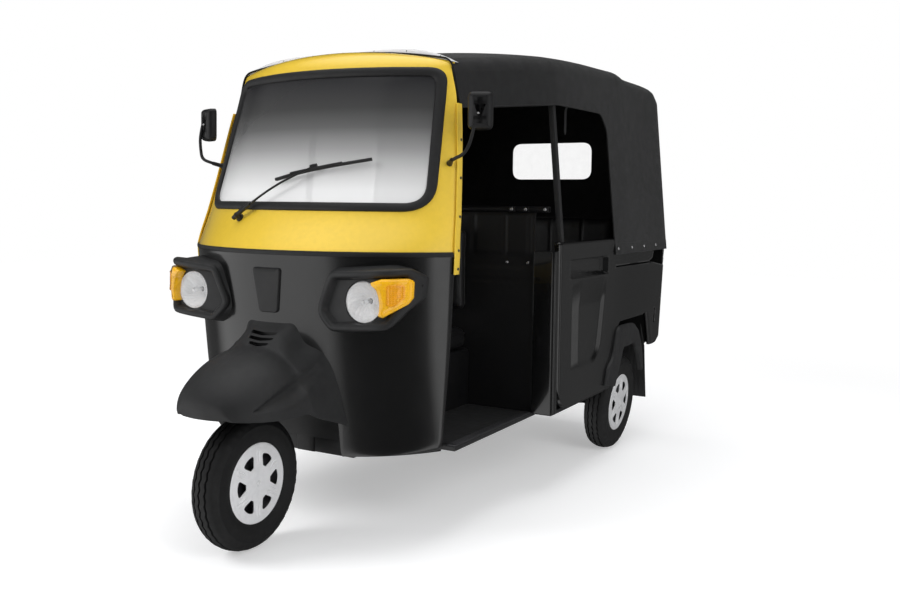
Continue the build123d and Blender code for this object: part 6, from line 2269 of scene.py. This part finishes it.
@dataclass
class Canopy:
    """Folding-type canvas canopy stretched over three hoops, with its rear window."""

    # columns: station, hem x, shoulder x and z, roof edge x and z, crown
    rows: tuple[tuple[float, ...], ...] = (
        (0.558, 0.662, 0.508, 1.713, 0.465, 1.768, 1.811), (1.212, 0.706, 0.634, 1.79, 0.56, 1.856, 1.9),
        (2.06, 0.706, 0.626, 1.84, 0.555, 1.902, 1.948), (2.204, 0.706, 0.626, 1.828, 0.555, 1.888, 1.934),
        (2.62, 0.706, 0.63, 1.82, 0.565, 1.88, 1.926), (2.68, 0.706, 0.634, 1.79, 0.57, 1.846, 1.89),
        (2.705, 0.706, 0.63, 1.74, 0.575, 1.782, 1.81))
    bows: tuple[float, ...] = (1.212, 2.06, 2.62)
    feet: tuple[tuple[float, float], ...] = ((1.072, 1.036), (1.009, 1.009), (1.009, 1.009))
    bow: float = 0.025
    gap: float = 0.012
    wall: float = 0.0025
    hem: float = 0.993
    stations: int = 66
    entry: tuple[Flat, ...] = ((0.505, 0.95), (0.505, 1.58), (0.555, 1.58), (1.212, 1.65), (1.742, 1.66),
                               (1.822, 1.59), (1.833, 1.111), (1.833, 0.95))
    entry_radii: tuple[float, ...] = (0.0, 0.0, 0.0, 0.25, 0.075, 0.09, 0.02, 0.0)
    window: tuple[float, float, float, float] = (0.25, 1.38, 1.592, 0.045)

    def shares(self) -> list[float]:
        """Shares across one half: crown, rounded shoulder, side, and a close pair at the hem."""
        return [0.42 * k / 13 for k in range(13)] + [0.42 + 0.13 * k / 8 for k in range(8)] \
            + [0.55 + 0.42 * k / 22 for k in range(22)] + [0.97, 0.974, 0.987, 1.0]

    def outline(self, station: float, share: float) -> Flat:
        """Outer line at a station, from the crown at share 0 to the hem at share 1."""
        hem, sx, sz, ex, ez, crown = (along_table(self.rows, c, station) for c in range(1, 7))
        if share <= 0.42:
            x = ex * share / 0.42
            return x, crown - (crown - ez) * (x / ex) ** 2
        if share >= 0.55:
            t = (share - 0.55) / 0.45
            return sx + (hem - sx) * t, sz + (self.hem - sz) * t
        slope = -2 * (crown - ez) / ex
        side = (hem - sx) / (self.hem - sz)
        # Where the roof's tangent meets the side's tangent.
        cz = (ez + slope * (sx - side * sz - ex)) / (1 - slope * side)
        cx = sx + side * (cz - sz)
        t = (share - 0.42) / 0.13
        a, b, c = (1 - t) ** 2, 2 * t * (1 - t), t * t
        return a * ex + b * cx + c * sx, a * ez + b * cz + c * sz

    def slack(self, station: float, share: float) -> float:
        """How far the cloth falls in between the hoops, and between the snaps along the hem."""
        marks = (self.rows[0][0], *self.bows, TAIL)
        for start, stop in zip(marks, marks[1:]):
            if start <= station <= stop:
                t = (station - start) / (stop - start)
                span = min(1.0, (stop - start) / 0.8)
                fall = 0.01 * span * 4 * t * (1 - t)
                broad = 0.5 + 0.5 * math.sin(9.0 * station + 5.0 * share)
                return fall * (0.75 + 0.25 * broad) * (1.0 if share < 0.97 else 0.5)
        return 0.0

    def point(self, share: float, station: float) -> Vector:
        """Point of the outer face at a share, -1 to 1 from hem to hem, and a station."""
        x, z = self.outline(station, abs(share))
        fall = self.slack(station, abs(share))
        sag = max(0.0, 1 - abs(share) / 0.5)
        inward = min(1.0, abs(share) / 0.5)
        hem = 0.0012 if abs(share) > 0.972 else 0.0
        corner = 0.022 * max(0.0, (station - (TAIL - 0.022)) / 0.022) ** 2
        corner *= clamp((abs(share) - 0.4) / 0.12)
        side = 1.0 if share >= 0 else -1.0
        return spot(side * (x - fall * inward * 0.6 + hem - corner), station, z - fall * sag)

    def cloth(self) -> Piece:
        """Roof and sides as one sheet, joined to the rear wall, with the entries and the window cut out."""
        half = self.shares()
        across = [-share for share in reversed(half[1:])] + half
        start = self.rows[0][0]
        places = [start + (TAIL - start) * k / self.stations for k in range(self.stations - 1)]
        places += [TAIL - 0.022, TAIL - 0.014, TAIL - 0.006, TAIL]

        def over(u: float, v: float) -> Vector:
            """Point of the roof and sides."""
            return self.point(across[round(u * (len(across) - 1))], places[min(round(v * (len(places) - 1)),
                                                                              len(places) - 1)])

        roof = surface("canopy_cloth", len(across) - 1, len(places) - 1, over)
        edge = [self.point(share, TAIL) for share in half]
        cells = 44

        def back(u: float, v: float) -> Vector:
            """Point of the rear wall, drawn in a little between its edges."""
            corner = edge[round(v * (len(edge) - 1))]
            turn = 2 * u - 1
            low = clamp((corner.z - 1.02) / 0.1)
            high = clamp((1.74 - corner.z) / 0.1)
            fall = 0.006 * (1 - turn ** 2) * low * high
            return Vector((corner.x * turn, corner.y - fall, corner.z))

        wall = surface("canopy_wall", cells, len(edge) - 1, back)
        cloth = tidy(join("canopy_cloth", [roof, wall]), gap=2e-4)
        self.outward(cloth)
        thicken(cloth, self.wall, -1.0)
        carve(cloth, prism("entry_cut", rounded(self.entry, self.entry_radii, 8), "x", -0.9, 0.9))
        carve(cloth, prism("window_cut", self.pane_outline(0.0), "y", 2.6, 2.8))
        return smooth(cloth, 40)

    def outward(self, cloth: Piece) -> None:
        """Turns the sheet so that its roof looks up."""
        up = sum(face.normal.z * face.area for face in cloth.data.polygons if face.center.z > 1.7)
        if up < 0:
            cloth.data.flip_normals()

    def pane_outline(self, grow: float) -> list[Flat]:
        """Rounded outline of the rear window."""
        half, low, high, radius = self.window
        corners = ((-half - grow, low - grow), (half + grow, low - grow), (half + grow, high + grow),
                   (-half - grow, high + grow))
        return rounded(corners, [radius * 1.25 + grow] * 4, 8)

    def binding(self) -> Piece:
        """Piping round the entries, the rear window and the front."""
        tubes = []
        path: list[Flat] = []
        for s, z in dense(rounded(self.entry, self.entry_radii), 0.08):
            if s > 0.556 and z > 0.999 and (not path or math.dist(path[-1], (s, z)) > 0.002):
                path.append((s, z))
        for side in (-1, 1):
            line = [self.point(side * self.share_at(s, z), s) for s, z in path]
            tubes.append(tube("entry_binding", stationed(line), 0.0034, 2))
        y = TAIL + 0.0005
        frame = [(x, y - 0.0055 * (1 - (x / 0.7) ** 2), z) for x, z in dense(self.pane_outline(0.006), 0.05)]
        tubes.append(tube("window_binding", frame, 0.0042, 2, ring=True))
        last = self.share_at(0.557, 1.584)
        rim = [self.point(last * k / 24, 0.557) for k in range(-24, 25)]
        tubes.append(tube("rim_binding", stationed(rim), 0.0034, 2))
        return join("canopy_binding", tubes)

    def share_at(self, station: float, z: float) -> float:
        """Share of the outline whose height is z at a station."""
        low, high = 0.0, 1.0
        for _ in range(30):
            middle = (low + high) / 2
            if self.outline(station, middle)[1] > z:
                low = middle
            else:
                high = middle
        return (low + high) / 2

    def hoops(self) -> Piece:
        """Square hoops under the cloth, with a rounded edge along each side."""
        made = []
        for station, feet in zip(self.bows, self.feet):
            lines = []
            for side, foot in ((-1, feet[1]), (1, feet[0])):
                last = self.share_at(station, foot)
                lines.append([(side * x, z) for x, z in
                              (self.outline(station, last * k / 26) for k in range(27))])
            line = lines[0][::-1] + lines[1][1:]
            loops = []
            for i, (x, z) in enumerate(line):
                back, ahead = line[max(i - 1, 0)], line[min(i + 1, len(line) - 1)]
                run = Vector((ahead[0] - back[0], ahead[1] - back[1])).normalized()
                inward = Vector((run.y, -run.x))
                section = rounded(((self.gap, -0.0125), (self.gap + self.bow, -0.0125),
                                   (self.gap + self.bow, 0.0125), (self.gap, 0.0125)), [0.005] * 4, 3)
                loops.append([spot(x + inward.x * d, station + w, z + inward.y * d) for d, w in section])
            made.append(smooth(loft("hoop", loops), 45))
        return join("canopy_hoops", made)

    def pane(self) -> Piece:
        """Clear sheeting sewn into the rear wall."""
        low, high = self.window[1] - 0.012, self.window[2] + 0.012
        half = self.window[0] + 0.012

        def place(u: float, v: float) -> Vector:
            """Point of the sheeting, which ripples a little."""
            x, z = half * (2 * u - 1), low + (high - low) * v
            ripple = 0.0006 * math.sin(9 * u + 4 * v) * math.sin(math.pi * u) * math.sin(math.pi * v)
            return spot(x, TAIL - 0.0062 + 0.0045 * (x / 0.7) ** 2 + ripple, z)

        pane = thicken(surface("window_sheeting", 40, 20, place), 0.0008)
        carve(pane, prism("pane_trim", self.pane_outline(0.01), "y", 2.6, 2.8), "INTERSECT")
        return smooth(pane, 40)

    def snaps(self) -> Piece:
        """Snap fasteners along the hem."""
        places = []
        for side in (-1, 1):
            for k in range(4):
                station = 1.874 + 0.204 * k
                point = self.point(side * self.share_at(station, 1.02), station)
                places.append((point + Vector((side * 0.001, 0, 0)), (side, 0, 0.08)))
        for k in range(7):
            places.append((spot(-0.6 + 0.2 * k, TAIL - 0.0015, 1.02), (0, 1, 0)))
        return studs("canopy_snaps", places, 0.0068, 0.0045)

    def build(self) -> None:
        hoops = publish(self.hoops(), Coat.MOULDED, replaces=["canopy_bows"])
        cloth = publish(self.cloth(), Coat.CANVAS, replaces=["canopy"])
        binding = publish(self.binding(), Coat.CANVAS)
        pane = publish(self.pane(), Coat.SHEETING, replaces=["rear_window"])
        snaps = publish(self.snaps(), Coat.CHROME)


# ---- studio ----------------------------------------------------------------------------
@dataclass
class Studio:
    """Pale floor, soft lights, world and camera."""

    place: Solid = (2.1998, -3.7546, 1.2234)
    azimuth: float = 29.996
    elevation: float = 3.097
    roll: float = 0.696
    lens: float = 37.86
    shift: Flat = (0.022, -0.0494)
    floor_half: float = 14.0
    # columns: place, target, size, power
    lamps: tuple[tuple[Solid, Solid, float, float], ...] = (
        ((-3.6, -4.2, 4.4), (0.0, -0.4, 0.8), 3.0, 226.0),
        ((4.8, -2.2, 2.8), (0.2, 0.1, 0.9), 3.0, 120.0),
        ((0.0, 0.6, 5.2), (0.0, 0.2, 0.0), 4.5, 160.0),
    )
    # Brightness that gloss mirrors, by compass angle: 0 is ahead of the vehicle and 90 its left side.
    surroundings: tuple[Flat, ...] = ((-180, 0.17), (-165, 0.12), (-98, 0.06), (-84, 0.8), (-60, 0.95),
                                      (-20, 1.1), (-1, 1.05), (8, 0.1), (60, 0.06), (66, 1.3), (76, 1.3),
                                      (80, 0.2), (98, 0.14), (103, 0.7), (116, 0.7), (123, 0.14), (160, 0.12),
                                      (161.5, 0.05), (165, 0.05), (170, 0.17), (180, 0.17))
    # Share of it that is left at a height of its direction.
    heights: tuple[Flat, ...] = ((-1.0, 0.8), (0.2, 1.0), (0.34, 0.15), (0.62, 0.12), (1.0, 0.12))

    def camera(self) -> None:
        """Places the camera and makes it the scene's own."""
        turn, dip, roll = (math.radians(a) for a in (self.azimuth, self.elevation, self.roll))
        ahead = Vector((-math.sin(turn) * math.cos(dip), math.cos(turn) * math.cos(dip), -math.sin(dip)))
        right = Vector((math.cos(turn), math.sin(turn), 0.0))
        up = right.cross(ahead)
        across = right * math.cos(roll) + up * math.sin(roll)
        upright = up * math.cos(roll) - right * math.sin(roll)
        data = bpy.data.cameras.new("camera")
        data.lens, data.sensor_width = self.lens, 36.0
        data.shift_x, data.shift_y = self.shift
        data.clip_end = 100.0
        camera = bpy.data.objects.new("camera", data)
        bpy.context.scene.collection.objects.link(camera)
        axes = Matrix((across, upright, -ahead)).transposed().to_4x4()
        camera.matrix_world = Matrix.Translation(self.place) @ axes
        bpy.context.scene.camera = camera

    def lights(self) -> None:
        """Large soft lamps: a key, a fill and one overhead."""
        for i, (place, target, size, power) in enumerate(self.lamps):
            data = bpy.data.lights.new(f"lamp_{i}", "AREA")
            data.shape, data.size, data.energy = "SQUARE", size, power
            lamp = bpy.data.objects.new(f"lamp_{i}", data)
            bpy.context.scene.collection.objects.link(lamp)
            lamp.location = place
            lamp.rotation_euler = (Vector(target) - Vector(place)).to_track_quat("-Z", "Y").to_euler()
            lamp.visible_camera = lamp.visible_glossy = False

    def world(self) -> None:
        """Grey for diffuse light, white to the camera, and a softly graded room for gloss."""
        world = bpy.data.worlds.new("studio")
        bpy.context.scene.world = world
        world.use_nodes = True
        world.node_tree.nodes.clear()
        wires = Wiring(world.node_tree)
        path = wires.node("LightPath")
        split = wires.node("SeparateXYZ")
        wires.join(wires.node("TexCoord").outputs["Generated"], split.inputs[0])
        ahead = wires.node("Math", {1: -1.0}, operation="MULTIPLY")
        wires.join(split.outputs["Y"], ahead.inputs[0])
        turn = wires.sum(split.outputs["X"], ahead.outputs[0], "ARCTAN2")
        round_about = wires.grey(wires.node_range(turn, -math.pi, math.pi),
                                 [((a + 180) / 360, shade) for a, shade in self.surroundings])
        by_height = wires.grey(wires.node_range(split.outputs["Z"], -1.0, 1.0),
                               [((z + 1) / 2, shade) for z, shade in self.heights])
        walls = wires.mix(1.0, (round_about, by_height), "MULTIPLY")
        room = wires.mix(wires.node_range(split.outputs["Z"], 0.68, 0.88), (walls, (0.95, 0.95, 0.95, 1)))
        diffuse = wires.node("Background", {"Color": (0.42, 0.425, 0.432, 1)})
        glossy = wires.node("Background")
        wires.join(room, glossy.inputs["Color"])
        white = wires.node("Background", {"Color": (1, 1, 1, 1)})
        gloss = wires.blend(path.outputs["Is Glossy Ray"], diffuse.outputs[0], glossy.outputs[0])
        output = wires.node("OutputWorld")
        wires.join(wires.blend(wires.seen(path), gloss, white.outputs[0]), output.inputs[0])

    def floor(self) -> None:
        """Floor that takes the shadow near the vehicle and fades to plain white far away."""
        take()
        bpy.ops.mesh.primitive_plane_add(size=2 * self.floor_half, location=(0, 0, -0.0005))
        floor = named("studio_floor")
        bpy.ops.object.transform_apply(location=True, rotation=True, scale=True)
        made = bpy.data.materials.new("studio_floor")
        made.use_nodes = True
        wires = Wiring(made.node_tree)
        shader = made.node_tree.nodes["Principled BSDF"]
        wires.set(shader, {"Roughness": 0.9, "Specular IOR Level": 0.0, "Emission Color": (1, 1, 1, 1)})
        reach = wires.node("VectorMath", operation="LENGTH")
        wires.join(wires.node("TexCoord").outputs["Object"], reach.inputs[0])
        fade = wires.node_range(reach.outputs["Value"], 2.2, 5.5, interpolation_type="SMOOTHSTEP")
        wires.join(wires.mix(fade, ((0.78, 0.78, 0.785, 1), (0.02, 0.02, 0.02, 1))),
                   shader.inputs["Base Color"])
        glow = wires.node_range(fade, 0.0, 1.0, 0.36, 1.0)
        seen = wires.seen(wires.node("LightPath"))
        wires.join(wires.sum(seen, glow, "MULTIPLY"), shader.inputs["Emission Strength"])
        floor.data.materials.append(made)
        floor.visible_glossy = False

    def build(self) -> None:
        """Builds the studio and sets the plain view transform."""
        self.camera()
        self.lights()
        self.world()
        self.floor()
        bpy.context.scene.view_settings.view_transform = "Standard"


# ---- whole vehicle ---------------------------------------------------------------------
# Finish of each CAD node that shows as it is.
CARRIED = {
    "floor_pan": Coat.MOULDED, "steering_head": Coat.FRAME, "rear_deck": Coat.FRAME, "wheel_well": Coat.BLACK,
    "trailing_arms": Coat.FRAME, "drive_shafts": Coat.STEEL,
}


def dress(frame: dict) -> None:
    """Gives every CAD node a finish; the nodes that show as they are get theirs from CARRIED."""
    for name in frame["nodes"]:
        node = bpy.data.objects.get(name)
        if node is None or node.type != "MESH":
            continue
        node.data.materials.clear()
        node.data.materials.append(material(CARRIED.get(name, Coat.FRAME)))


ASSEMBLIES = (Cowl, Lamps, Mudguard, Windshield, Mirrors, Wheels, Steering, Suspension, Chassis, Cab,
              DriverSeat, SideBody, Tail, Engine, RearSeat, Canopy)


def main() -> None:
    """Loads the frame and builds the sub-assemblies in order."""
    logging.basicConfig(level=logging.INFO, format="%(message)s")
    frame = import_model()
    dress(frame)
    for part in ASSEMBLIES:
        LOG.info("-- %s", part.__name__)
        part().build()
    Studio().build()


if __name__ == "__main__":
    main()
